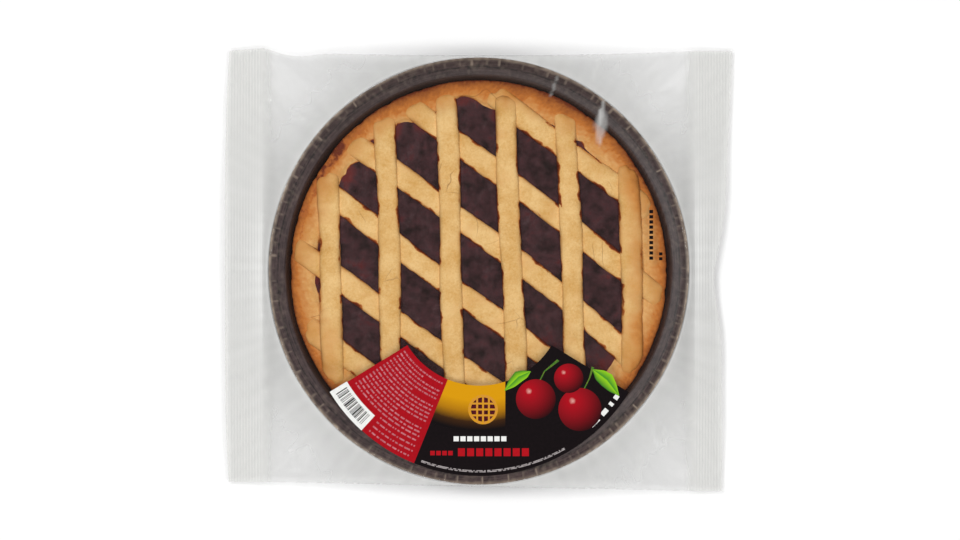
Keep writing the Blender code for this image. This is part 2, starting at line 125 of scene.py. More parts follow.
# Millimetres by which the start and the end of a strip reach on or fall short
UNDER_ENDS = ((0, 0), (0, 4.0), (1.0, 0), (-2.0, 0), (3.0, 0), (2.5, 0))
TOP_THICKNESS = 2.9 * MM
TOP_SLANT = math.radians(-90.0)
TOP_PLACES = [place * MM for place in (-86.2, -52.0, -16.0, 19.2, 54.0, 88.3)]
TOP_LEANS = (0.036, 0.026, 0.028, 0.041, 0.040, 0.022)
TOP_BENDS = (0.0,) * 6
TOP_ENDS = ((-3.0, 7.0), (-2.0, 0), (-0.5, 0), (-1.5, 0), (3.0, 0), (4.6, 4.0))
TIP_SINK = 0.84  # share of its thickness that an end loses as it melts in
TIP_REACH = 16.0 * MM
STRIP_WANDER = 0.5 * MM
WANDER_WAVE = 23.0 * MM
SWELL_WAVE = 14.0 * MM
PRESS_REACH = 12.0 * MM
LAY_STEP = 1.6 * MM
LAY_GAP = 0.15 * MM
STRIP_END_SPREAD = 1.2 * MM
WIDTH_SPREAD = 0.05
SECTION_SIDES = 26
RING_STEP = 1.0 * MM
SUNK = 0.45 * MM
RIM_BAKED = (86 * MM, 108 * MM)  # radii between which the ends brown
RIGHT_BAKED = (78 * MM, 92 * MM)
UNDER_SEED = 20
TOP_SEED = 40

# Bag
BAG_TOP = BAG_CREST - 0.25 * MM
BAG_REST = 106.8 * MM
BAG_HALF_LENGTH = 147.5 * MM
BAG_HALF_WIDTH = 128.0 * MM
SEAL_INNER = 125.4 * MM
SEAL_RISE_INNER = (8.0 * MM, 14.0 * MM)
SEAL_RISE_OUTER = (5.5 * MM, 9.0 * MM)
SEAL_WELD = 0.16 * MM
FOLD_RISE = 21.0 * MM
FOLD_MIDDLE = 124.7 * MM
RIGHT_END_SHORT = 6.2 * MM
RIGHT_END_DENT = 4.4 * MM
LEFT_CORNER_DROP = 1.5 * MM
LEFT_CORNER_ROUND = 2.4 * MM
BAND_CELLS = 62
MIDDLE_CELLS = 150
ROW_CELLS = 150
UPPER_CREASES = (61, 34)  # seed and number
LOWER_CREASES = (62, 26)
# radii between which the film's haze over the tart ends, and between which its ring at the lip lies,
# where a sheen is painted
OVER_TART = (108 * MM, 113 * MM)
CONTACT_INNER = (111.5 * MM, 113 * MM)
CONTACT_OUTER = (116.5 * MM, 118 * MM)
# painted light: thick milk on the film next to the lip, fading out over this distance, lightens the
# case's shadow on the floor
LOOSE_FROM = 123 * MM
LOOSE_FADE = 13 * MM

# Painted white glints on the film, laid into its haze: from, to, half width and strength, in
# millimetres
FILM_STREAKS = (
    ((72.2, 99.5), (69.2, 70.0), 5.2, 0.36),
    ((71.2, 97.0), (69.8, 83.0), 2.0, 0.22),
    ((45.8, 113.5), (41.2, 100.0), 1.5, 0.22),
)

# Label, printed on the top of the film
LABEL_CENTRE = (0.46 * MM, -17.4 * MM)
LABEL_INNER = 48.8 * MM
LABEL_OUTER = 101.0 * MM
LABEL_FROM = math.radians(211.4)
LABEL_TO = math.radians(328.6)
LABEL_RED_TO = math.radians(248.0)
LABEL_JOIN = 14.9 * MM
PRINT_Z = BAG_TOP + 0.12 * MM
INK = 0.03 * MM  # one printed layer above the next
YELLOW_TO = 75.5 * MM
BARCODE_RADII = (91.4 * MM, 98.8 * MM)
BARCODE_ANGLES = (math.radians(212.9), math.radians(226.1))
BARCODE_FIELD_RADII = (89.6 * MM, 101.2 * MM)
BARCODE_FIELD_ANGLES = (math.radians(211.2), math.radians(227.6))
BARCODE_SEED = 77
BARCODE_STRIPES = 45
SMALL_TALL = 0.95 * MM  # height of a line of small print
SMALL_GAP = math.radians(2.0)
LOW_PRINT_FROM = math.radians(229.6)
FOOT_TALL = 0.5 * MM
FOOT_RADII = (98.0 * MM, 98.7 * MM)
FOOT_ANGLES = (math.radians(250), math.radians(300))
WEIGHT_RADII = (95.2 * MM, 98.0 * MM)
# direction and width of each mark, in degrees
WEIGHT_MARKS = ((313.6, 3.6), (318.4, 2.6), (322.0, 1.2), (324.9, 1.6))
# centre and radius of each printed cherry, and the tart mark's centre, in millimetres
CHERRIES = ((33.0, -74.0, 11.5), (58.5, -80.0, 12.5), (52.0, -62.0, 8.5))
TART_MARK = (2.5, -80.0)
# rows of blocks in place of words: name, ink, corner and size in millimetres, number of
# letters, gap between two as a share of a letter, and if the row runs up the film
WORD_BLOCKS = (
    ("title_blocks_white", "white", (-14.5, -98.4), (30.5, 2.9), 8, 0.3, False),
    ("title_blocks_red_small", "red", (-28, -106.5), (13, 2.6), 4, 0.3, False),
    ("title_blocks_red", "red", (-12, -107.0), (41, 4.6), 8, 0.3, False),
    ("date_blocks", "black", (98.6, 6.5), (2.2, 28.8), 10, 0.55, True),
    ("batch_blocks", "black", (104.2, 6.2), (2.0, 4.6), 2, 0.6, True),
)

# Stage: each panel's name, its direction in degrees and its share of the full power
PANELS = (
    ("Key panel", 140, 1.0),
    ("Right panel", 20, 0.55),
    ("Low panel", 230, 0.633),
    ("Far panel", 310, 0.5),
)
PANEL_AWAY = 1.9
IMAGE_WIDTH = 960
CAMERA_OFFSET = (1.3, 1.0)  # pixels from the tart's middle to the image's


def linear(hex_colour, alpha=1.0):
    """An sRGB hex colour as linear light."""
    out = []
    for i in (0, 2, 4):
        c = int(hex_colour[i : i + 2], 16) / 255
        out.append(c / 12.92 if c <= 0.04045 else ((c + 0.055) / 1.055) ** 2.4)
    return (*out, alpha)


def smooth(value, low, high):
    """0 up to low and 1 from high, with a soft step between."""
    part = np.clip((value - low) / (high - low), 0.0, 1.0)
    return part * part * (3 - 2 * part)


def mix(low, high, part):
    return low + (high - low) * part


def bump(distance, reach):
    """1 in the middle, falling off to 0 at a reach on either side."""
    return 1 - smooth(np.abs(distance), 0.0, reach)


class Uneven:
    """The wave that the solid's edge follows, from -1 to 1 round a circle."""

    def __init__(self, seed, counts):
        draw = random.Random(seed)
        self.terms = [(count, draw.uniform(0, TURN)) for count in counts]

    def at(self, angle):
        return sum(np.sin(c * angle + phase) for c, phase in self.terms) / len(self.terms)


CREST_WAVE = Uneven(3, (2, 5, 9, 14))
EDGE_WAVE = Uneven(5, (3, 7, 12, 19))
SHORE_WAVE = Uneven(8, (2, 5, 8, 13))
LUMP_WAVE = Uneven(13, (3, 4, 7))


def grain(points, size, seed=0.0):
    """Smooth noise from -1 to 1 at each point, with features of a real size."""
    shift = Vector((seed * 17.3, seed * 5.1, seed * 9.7))
    return np.array([noise.noise(Vector(p) / size + shift) for p in points])


def shore(angle):
    """Radius at which the jam meets the pastry edge: lobes of jam between strips."""
    radius = SHORE_RADIUS + SHORE_UNEVEN * SHORE_WAVE.at(angle)
    for towards, reach, width in SHORE_LOBES:
        off = (angle - math.radians(towards) + math.pi) % TURN - math.pi
        radius = radius + reach * MM * np.exp(-((off / math.radians(width)) ** 2))
    return radius


def crest(angle):
    """Height of the pastry edge's crest."""
    return CREST + CREST_UNEVEN * CREST_WAVE.at(angle)


def wall_radius(height):
    """Radius of the case's inner wall, which is a little bowed."""
    rise = (height - CASE_FOOT - BOARD) / (CASE_TOP - CASE_FOOT - BOARD)
    return WALL_FOOT + (WALL_TOP - WALL_FOOT) * (1 - (1 - rise) ** WALL_BOW)


def case_room(height, angle):
    """Radius free inside the case at a height, towards an angle."""
    oval = 1 / np.hypot(np.cos(angle) * CASE_R / CASE_RX, np.sin(angle) * CASE_R / CASE_RY)
    return wall_radius(height) * oval - 0.25 * MM


def slope_arrays(angle):
    """The pastry edge's inner slope and crest at each angle: radii and heights."""
    near, top = shore(angle), crest(angle)
    inset = EDGE_UNEVEN * (0.5 - 0.5 * EDGE_WAVE.at(angle))
    outer = case_room(top - BROW_DROP, angle) - inset
    radii = [near, mix(near, CREST_RADIUS, 0.35), mix(near, CREST_RADIUS, 0.68)]
    radii += [CREST_RADIUS + 0 * near, mix(CREST_RADIUS, outer, 0.6), outer]
    heights = [JAM_TOP - 0.6 * MM + 0 * near, mix(JAM_TOP, top, 0.62), mix(JAM_TOP, top, 0.92)]
    heights += [top, top - 0.35 * MM, top - BROW_DROP]
    return radii, heights


def edge_table(steps=1440):
    """The pastry edge's profile at even steps round, for quick reading."""
    radii, heights = slope_arrays(np.arange(steps) * TURN / steps)
    return list(zip(np.stack(radii, 1).tolist(), np.stack(heights, 1).tolist()))


def jam_height(x, y):
    """Height of the jam's lumpy top."""
    lumps = np.sin(x / (9.0 * MM)) * np.cos(y / (11.0 * MM) + 0.8)
    slow = LUMP_WAVE.at(np.arctan2(y, x)) * np.minimum(np.hypot(x, y) / JAM_RADIUS, 1.0)
    return JAM_TOP + JAM_LUMP * (0.6 * lumps + 0.4 * slow)


def ground(x, y):
    """Height of the jam, or of the pastry edge round it."""
    radius, angle = math.hypot(x, y), math.atan2(y, x)
    radii, heights = EDGE_TABLE[int(angle / TURN * len(EDGE_TABLE)) % len(EDGE_TABLE)]
    if radius <= radii[0]:
        return float(jam_height(x, y))
    for i in range(1, len(radii)):
        if radius <= radii[i]:
            part = (radius - radii[i - 1]) / (radii[i] - radii[i - 1])
            edge = mix(heights[i - 1], heights[i], part)
            return max(edge, JAM_TOP + JAM_LUMP)
    return heights[-1]


EDGE_TABLE = edge_table()


def deselect():
    """Clears the selection before an operator starts a new piece."""
    for thing in bpy.context.selected_objects:
        thing.select_set(False)


def choose(obj):
    """Makes one object the only one selected, and the active one."""
    deselect()
    obj.select_set(True)
    bpy.context.view_layer.objects.active = obj


def edit(obj, mode="VERT"):
    """Opens one object in edit mode with everything selected."""
    choose(obj)
    bpy.ops.object.mode_set(mode="EDIT")
    bpy.ops.mesh.select_mode(type=mode)
    bpy.ops.mesh.select_all(action="SELECT")


def leave_edit():
    bpy.ops.object.mode_set(mode="OBJECT")


def settle(obj):
    """Brings the object's own place into its mesh."""
    choose(obj)
    bpy.ops.object.transform_apply(location=True, rotation=True, scale=True)


def places(obj):
    """The mesh's points as an array."""
    flat = np.empty(len(obj.data.vertices) * 3)
    obj.data.vertices.foreach_get("co", flat)
    return flat.reshape(-1, 3)


def polar(points):
    """Distance from the middle and direction of each point, in plan."""
    return np.hypot(points[:, 0], points[:, 1]), np.arctan2(points[:, 1], points[:, 0])


def move_to(obj, points):
    """Puts the mesh's points at new places."""
    obj.data.vertices.foreach_set("co", np.asarray(points, float).ravel())
    obj.data.update()


def paint(obj, name, values):
    """Stores one number for each point, which the material reads."""
    layer = obj.data.attributes.new(name, "FLOAT", "POINT")
    layer.data.foreach_set("value", np.asarray(values, float).ravel())


def face_out(obj):
    """Turns every face to look outwards."""
    edit(obj)
    bpy.ops.mesh.normals_make_consistent(inside=False)
    leave_edit()


def soften(obj, degrees):
    """Shades smooth across every edge that turns by less than some degrees."""
    choose(obj)
    bpy.ops.object.shade_smooth_by_angle(angle=math.radians(degrees))


def dress(obj, mat, slot, *nodes):
    """Gives a piece its material and hides the nodes that it replaces. The slot is not used."""
    obj.data.materials.clear()
    obj.data.materials.append(mat)
    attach(obj, BODY)
    if nodes:
        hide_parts(*nodes)


def turned(name, profile, segments):
    """A circle drawn out ring by ring along a profile, and closed at both ends."""
    deselect()
    radius, height = profile[0]
    bpy.ops.mesh.primitive_circle_add(vertices=segments, radius=radius, location=(0, 0, height))
    obj = bpy.context.object
    obj.name = name
    obj.data.name = name
    settle(obj)
    edit(obj, "EDGE")
    bpy.ops.mesh.edge_face_add()
    for (r0, z0), (r1, z1) in zip(profile, profile[1:]):
        bpy.ops.mesh.select_all(action="DESELECT")
        leave_edit()
        count = len(obj.data.vertices)
        last = range(count - segments, count)
        for i in last:
            obj.data.vertices[i].select = True
        chosen = set(last)
        for edge in obj.data.edges:
            if edge.vertices[0] in chosen and edge.vertices[1] in chosen:
                edge.select = True
        bpy.ops.object.mode_set(mode="EDIT")
        bpy.ops.mesh.extrude_edges_move(TRANSFORM_OT_translate={"value": (0, 0, z1 - z0)})
        ratio = r1 / r0
        bpy.ops.transform.resize(value=(ratio, ratio, 1), center_override=(0, 0, 0))
    bpy.ops.mesh.edge_face_add()
    leave_edit()
    return obj


def add(tree, kind, inputs=None, links=None, stops=None, output=None, **settings):
    """Adds a node with its settings, values and links. A colour ramp's stops are pairs
    of a place and a colour. Returns the output that is named, or the first in use."""
    made = tree.nodes.new(kind)
    for name, value in settings.items():
        setattr(made, name, value)
    for name, value in (inputs or {}).items():
        made.inputs[name].default_value = value
    for name, socket in (links or {}).items():
        tree.links.new(socket, made.inputs[name])
    for i, (place, colour) in enumerate(stops or []):
        ramp = made.color_ramp
        point = ramp.elements[i] if i < 2 else ramp.elements.new(place)
        point.position = place
        point.color = tuple(colour)
    return made.outputs[output] if output else next(s for s in made.outputs if s.enabled)


def new_material(name):
    """An empty material and its output node."""
    mat = bpy.data.materials.new(name)
    mat.use_nodes = True
    tree = mat.node_tree
    tree.nodes.clear()
    out = tree.nodes.new("ShaderNodeOutputMaterial")
    return mat, tree, out


def shortcrust(name, look, pale, golden, tan, brown):
    # Baked shortcrust pastry, rolled and cut by hand: a dry, sandy crumb. The oven browns
    # what stands proud, jam dyes the sides that it boiled up against, and the crust
    # cracks in hairlines as it cools.
    mat, tree, out = new_material(name)
    where = add(tree, "ShaderNodeTexCoord", output="Object")
    cloud = add(
        tree,
        "ShaderNodeTexNoise",
        {"Scale": 1 / (14 * MM), "Detail": 4.0, "Roughness": 0.6},
        {"Vector": where},
    )
    crumb = add(
        tree,
        "ShaderNodeTexNoise",
        {"Scale": 1 / look.crumb, "Detail": 4.0, "Roughness": 0.75},
        {"Vector": where},
    )
    blend = add(tree, "ShaderNodeMix", {"Factor": 0.45}, {"A": cloud, "B": crumb}, data_type="FLOAT")
    dough = add(tree, "ShaderNodeValToRGB", links={"Fac": blend}, stops=[(0.38, golden), (0.60, pale)])
    bake = add(tree, "ShaderNodeAttribute", attribute_name="bake", output="Fac")
    uneven = add(tree, "ShaderNodeMath", {1: 0.5}, {0: blend}, operation="MULTIPLY")
    toast = add(tree, "ShaderNodeMath", links={0: bake, 1: uneven}, operation="ADD")
    first = add(tree, "ShaderNodeMapRange", {"From Min": 0.30, "From Max": 0.80}, {"Value": toast})
    second = add(tree, "ShaderNodeMapRange", {"From Min": 0.78, "From Max": 1.24}, {"Value": toast})
    tanned = add(tree, "ShaderNodeMix", {7: tan}, {"Factor": first, 6: dough}, data_type="RGBA")
    browned = add(tree, "ShaderNodeMix", {7: brown}, {"Factor": second, 6: tanned}, data_type="RGBA")

    # jam that boiled up: an orange-brown rim, near black-red where it lies thick
    stain = add(tree, "ShaderNodeAttribute", attribute_name="stain", output="Fac")
    patchy = add(
        tree,
        "ShaderNodeTexNoise",
        {"Scale": 1 / (2.6 * MM), "Detail": 3.0, "Roughness": 0.65},
        {"Vector": where},
    )
    soak = add(tree, "ShaderNodeMath", {1: 1.1}, {0: patchy, 2: stain}, operation="MULTIPLY_ADD")
    syrup = add(tree, "ShaderNodeMapRange", {"From Min": 0.92, "From Max": 1.12}, {"Value": soak})
    thick = add(tree, "ShaderNodeMapRange", {"From Min": 1.18, "From Max": 1.45}, {"Value": soak})
    dyed = add(tree, "ShaderNodeMix", {7: look.syrup}, {"Factor": syrup, 6: browned}, data_type="RGBA")
    soaked = add(tree, "ShaderNodeMix", {7: look.soaked}, {"Factor": thick, 6: dyed}, data_type="RGBA")

    # hairline cracks, some 24 mm apart and open in a few places only
    sway = add(
        tree,
        "ShaderNodeTexNoise",
        {"Scale": 1 / (9 * MM), "Detail": 1.0},
        {"Vector": where},
        output="Color",
    )
    bent = add(
        tree,
        "ShaderNodeVectorMath",
        {1: (3 * MM, 3 * MM, 3 * MM)},
        {0: sway, 2: where},
        operation="MULTIPLY_ADD",
    )
    edge = add(
        tree,
        "ShaderNodeTexVoronoi",
        {"Scale": 1 / (24 * MM)},
        {"Vector": bent},
        feature="DISTANCE_TO_EDGE",
    )
    line = add(
        tree,
        "ShaderNodeMapRange",
        {"From Min": 0.002, "From Max": 0.009, "To Min": 0.5, "To Max": 0.0},
        {"Value": edge},
    )
    few = add(tree, "ShaderNodeTexNoise", {"Scale": 1 / (21 * MM), "Detail": 0.0}, {"Vector": where})
    opened = add(tree, "ShaderNodeMapRange", {"From Min": 0.655, "From Max": 0.75}, {"Value": few})
    crack = add(tree, "ShaderNodeMath", links={0: line, 1: opened}, operation="MULTIPLY")
    cracked = add(
        tree, "ShaderNodeMix", {7: look.crack}, {"Factor": crack, 6: soaked}, data_type="RGBA"
    )
    deep = add(tree, "ShaderNodeMath", {1: -0.9}, {0: crack, 2: crumb}, operation="MULTIPLY_ADD")
    relief = add(tree, "ShaderNodeBump", {"Strength": 0.7, "Distance": 0.25 * MM}, {"Height": deep})
    shader = add(
        tree,
        "ShaderNodeBsdfPrincipled",
        {"Roughness": 0.7, "Specular IOR Level": 0.2},
        {"Base Color": cracked, "Normal": relief},
    )
    tree.links.new(shader, out.inputs["Surface"])
    return mat


def cherry_jam(look):
    # Cooked cherry jam, boiled with its skins and set by pectin: nearly black where it is
    # deep, red where it is thin or stands against the pastry, and wet on top.
    mat, tree, out = new_material("Set cherry jam")
    where = add(tree, "ShaderNodeTexCoord", output="Object")
    lumps = add(
        tree,
        "ShaderNodeTexNoise",
        {"Scale": 1 / look.lump_size, "Detail": 5.0, "Roughness": 0.62},
        {"Vector": where},
    )
    thin = add(tree, "ShaderNodeAttribute", attribute_name="thin", output="Fac")
    depth = add(tree, "ShaderNodeMath", {1: 0.42}, {0: thin}, operation="MULTIPLY")
    level = add(tree, "ShaderNodeMath", links={0: lumps, 1: depth}, operation="ADD")
    stops = [(0.34, look.deep), (0.58, look.body), (0.86, look.thin)]
    colour = add(tree, "ShaderNodeValToRGB", links={"Fac": level}, stops=stops)
    fine = add(
        tree,
        "ShaderNodeTexNoise",
        {"Scale": 1 / (2.6 * MM), "Detail": 3.0, "Roughness": 0.5},
        {"Vector": where},
    )
    relief = add(tree, "ShaderNodeBump", {"Strength": 0.5, "Distance": 0.5 * MM}, {"Height": fine})
    rough = add(
        tree,
        "ShaderNodeMapRange",
        {"From Min": 0.3, "From Max": 0.7, "To Min": 0.45, "To Max": 0.22},
        {"Value": lumps},
    )
    shader = add(
        tree,
        "ShaderNodeBsdfPrincipled",
        {"Specular IOR Level": 0.07},
        {"Base Color": colour, "Normal": relief, "Roughness": rough},
    )
    tree.links.new(shader, out.inputs["Surface"])
    return mat


def pressed_board(look):
    # Brown baking paperboard, pressed hot into shape: matt and fibrous, drawn out in
    # fine rings by the press, with pale rubbed folds and dark marks where butter soaked in.
    # Light and shade are painted into its colour as well: painted shade on the inner wall
    # and the far part of the flange, painted shade along the press crease and in the deepest
    # pleats, and a painted highlight along the lip's edge.
    mat, tree, out = new_material("Pressed baking paperboard")
    where = add(tree, "ShaderNodeTexCoord", output="Object")
    fibre = add(
        tree,
        "ShaderNodeTexNoise",
        {"Scale": 1 / (4.5 * MM), "Detail": 6.0, "Roughness": 0.68},
        {"Vector": where},
    )
    parts = add(tree, "ShaderNodeSeparateXYZ", links={"Vector": where}).node.outputs
    flat = add(tree, "ShaderNodeCombineXYZ", links={"X": parts["X"], "Y": parts["Y"]})
    radius = add(tree, "ShaderNodeVectorMath", links={0: flat}, operation="LENGTH")
    # rings 0.7 mm apart, each some 16 mm long before it fades
    ring = add(tree, "ShaderNodeMath", {1: 16 / 0.7}, {0: radius}, operation="MULTIPLY")
    drawn = add(tree, "ShaderNodeCombineXYZ", links={"X": parts["X"], "Y": parts["Y"], "Z": ring})
    rings = add(
        tree,
        "ShaderNodeTexNoise",
        {"Scale": 1 / (16 * MM), "Detail": 2.0, "Roughness": 0.6},
        {"Vector": drawn},
    )
    tone = add(tree, "ShaderNodeMix", {"Factor": 0.5}, {"A": fibre, "B": rings}, data_type="FLOAT")
    stops = [(0.36, look.dark), (0.62, look.pale)]
    colour = add(tree, "ShaderNodeValToRGB", links={"Fac": tone}, stops=stops)
    # painted shade: the inner wall and the far part of the flange take the dark wall colour
    shade = add(tree, "ShaderNodeAttribute", attribute_name="shade", output="Fac")
    wall_shaded = add(tree, "ShaderNodeMix", {7: look.wall}, {"Factor": shade, 6: colour}, data_type="RGBA")
    # butter marks, and painted shade along the press crease and in the deepest pleats, in one dark
    # colour
    grease_and_crease_shade = add(tree, "ShaderNodeAttribute", attribute_name="grease_and_crease_shade", output="Fac")
    broken = add(
        tree,
        "ShaderNodeTexNoise",
        {"Scale": 1 / (3.2 * MM), "Detail": 4.0, "Roughness": 0.7},
        {"Vector": where},
    )
    butter = add(tree, "ShaderNodeMath", {1: 1.2}, {0: broken, 2: grease_and_crease_shade}, operation="MULTIPLY_ADD")
    butter = add(
        tree,
        "ShaderNodeMapRange",
        {"From Min": 0.88, "From Max": 1.12, "To Max": 0.85},
        {"Value": butter},
    )
    greased_and_shaded = add(
        tree, "ShaderNodeMix", {7: look.grease_and_crease_shade}, {"Factor": butter, 6: wall_shaded}, data_type="RGBA"
    )
    # pale rubbed pleats and streaks, and a painted highlight along the lip's edge
    rub_and_highlight = add(tree, "ShaderNodeAttribute", attribute_name="rub_and_highlight", output="Fac")
    rubbed = add(tree, "ShaderNodeMix", {7: look.rubbed}, {"Factor": rub_and_highlight, 6: greased_and_shaded}, data_type="RGBA")
    relief = add(tree, "ShaderNodeBump", {"Strength": 0.45, "Distance": 0.2 * MM}, {"Height": tone})
    shader = add(
        tree,
        "ShaderNodeBsdfPrincipled",
        {"Roughness": 0.6, "Specular IOR Level": 0.15},
        {"Base Color": rubbed, "Normal": relief},
    )
    tree.links.new(shader, out.inputs["Surface"])
    return mat


def film_material(look):
    # Oriented polypropylene film, 30 micrometres, blown and stretched both ways: it
    # takes a little light, mirrors the softboxes on its creases, and clouds where it was
    # stretched or crimped. Its milk also carries painted light: painted glints, a painted
    # sheen on the ring at the lip, and painted light and shade beside the case.
    mat, tree, out = new_material("Clear polypropylene film")
    facing = add(tree, "ShaderNodeLayerWeight", {"Blend": 0.3}, output="Facing")
    share = add(
        tree,
        "ShaderNodeMapRange",
        {"From Min": 0.0, "From Max": 1.0, "To Min": 0.004, "To Max": 0.4},
        {"Value": facing},
    )
    crush = add(tree, "ShaderNodeAttribute", attribute_name="crush", output="Fac")
    matt = add(
        tree,
        "ShaderNodeMapRange",
        {"From Min": 0.3, "From Max": 0.75, "To Min": 1.0, "To Max": 0.1},
        {"Value": crush},
    )
    share = add(tree, "ShaderNodeMath", links={0: share, 1: matt}, operation="MULTIPLY")
    tint = add(
        tree, "ShaderNodeMix", {6: look.clear, 7: look.crimped}, {"Factor": crush}, data_type="RGBA"
    )
    clear = add(tree, "ShaderNodeBsdfTransparent", links={"Color": tint})
    gloss = add(tree, "ShaderNodeBsdfGlossy", {"Color": linear("FFFFFF"), "Roughness": 0.1})
    skin = add(tree, "ShaderNodeMixShader", links={0: share, 1: clear, 2: gloss})
    # the film parts from the case at its lip, and is cloudy from there on; beside the lip this milk
    # also paints light over the case's shadow, and shade towards the lower side
    where = add(tree, "ShaderNodeTexCoord", output="Object")
    level = add(
        tree,
        "ShaderNodeVectorMath",
        {1: (1 / CASE_RX, 1 / CASE_RY, 0)},
        {0: where},
        operation="MULTIPLY",
    )
    round_lip = add(tree, "ShaderNodeVectorMath", links={0: level}, operation="LENGTH")
    off_lip = add(
        tree, "ShaderNodeMapRange", {"From Min": 0.999, "From Max": 1.006}, {"Value": round_lip}
    )
    beside = add(tree, "ShaderNodeAttribute", attribute_name="beside", output="Fac")
    haze_and_sheen = add(tree, "ShaderNodeAttribute", attribute_name="haze_and_sheen", output="Fac")
    cloud = add(
        tree,
        "ShaderNodeMath",
        links={0: beside, 1: off_lip, 2: haze_and_sheen},
        operation="MULTIPLY_ADD",
        use_clamp=True,
    )
    whiter = add(
        tree,
        "ShaderNodeMix",
        {6: look.cloud, 7: look.crimped_cloud},
        {"Factor": crush},
        data_type="RGBA",
    )
    milky = add(tree, "ShaderNodeBsdfDiffuse", links={"Color": whiter})
    film = add(tree, "ShaderNodeMixShader", links={0: cloud, 1: skin, 2: milky})
    tree.links.new(film, out.inputs["Surface"])
    return mat


def ink(name, stops, attribute=None):
    # Flexographic ink on film, laid by a rubber plate: an even satin coat whose tone
    # follows the fine cells of the plate, or runs along an attribute of the piece.
    mat, tree, out = new_material(name)
    where = add(tree, "ShaderNodeTexCoord", output="Object")
    cells = add(tree, "ShaderNodeTexNoise", {"Scale": 1 / (1.5 * MM), "Detail": 2.0}, {"Vector": where})
    if attribute:
        place = add(tree, "ShaderNodeAttribute", attribute_name=attribute, output="Fac")
        grainy = add(tree, "ShaderNodeMath", {1: 0.03}, {0: cells, 2: place}, operation="MULTIPLY_ADD")
    else:
        grainy = cells
    colour = add(tree, "ShaderNodeValToRGB", links={"Fac": grainy}, stops=stops)
    shader = add(
        tree,
        "ShaderNodeBsdfPrincipled",
        {"Roughness": 0.45, "Specular IOR Level": 0.03},
        {"Base Color": colour},
    )
    tree.links.new(shader, out.inputs["Surface"])
    return mat


def board_profile(board):
    """The case's section: out along its floor, up, over the lip, and back beneath."""
    floor = CASE_FOOT + board
    lip = CASE_TOP - 1.0 * MM
    lean = (WALL_TOP - WALL_FOOT) / (CASE_TOP - floor)
    across = board * math.hypot(1, lean)
    inner = [(8 * MM, floor), (60 * MM, floor), (WALL_FOOT - 2.0 * MM, floor)]
    inner += [(WALL_FOOT - 0.6 * MM, floor + 0.25 * MM)]
    inner += [(WALL_FOOT + 0.45 * MM, floor + 1.2 * MM)]
    for i in range(1, 12):
        height = mix(floor + 1.2 * MM, CASE_TOP - 1.0 * MM, i / 11)
        inner.append((wall_radius(height), height))
    inner += [(WALL_TOP + 0.35 * MM, CASE_TOP - 0.25 * MM), (WALL_TOP + 1.0 * MM, CASE_TOP)]
    inner += [(mix(WALL_TOP, FLANGE_OUTER, part), CASE_TOP) for part in (0.4, 0.6, 0.75, 0.88, 1.0)]
    for part in (0.1, 0.2, 0.32, 0.45, 0.6, 0.75, 0.9, 1.0):
        drop = 1.0 * MM * part**1.8
        inner.append((mix(FLANGE_OUTER, CASE_R, part), CASE_TOP - drop))
    outer = [(CASE_R + 0.05 * MM, lip - 0.4 * board), (CASE_R - 0.1 * MM, lip - board)]
    outer += [(mix(FLANGE_OUTER, CASE_R, 0.5), CASE_TOP - board - 0.3 * MM)]
    outer += [(WALL_TOP + across + 0.5 * MM, CASE_TOP - board)]
    for i in range(8, 0, -1):
        height = mix(floor, CASE_TOP - 2.0 * MM, i / 8)
        outer.append((wall_radius(height) + across, height))
    outer += [(WALL_FOOT + across - 0.6 * MM, CASE_FOOT + 0.3 * MM)]
    outer += [(WALL_FOOT - 1.2 * MM, CASE_FOOT), (60 * MM, CASE_FOOT), (8 * MM, CASE_FOOT)]
    return inner + outer


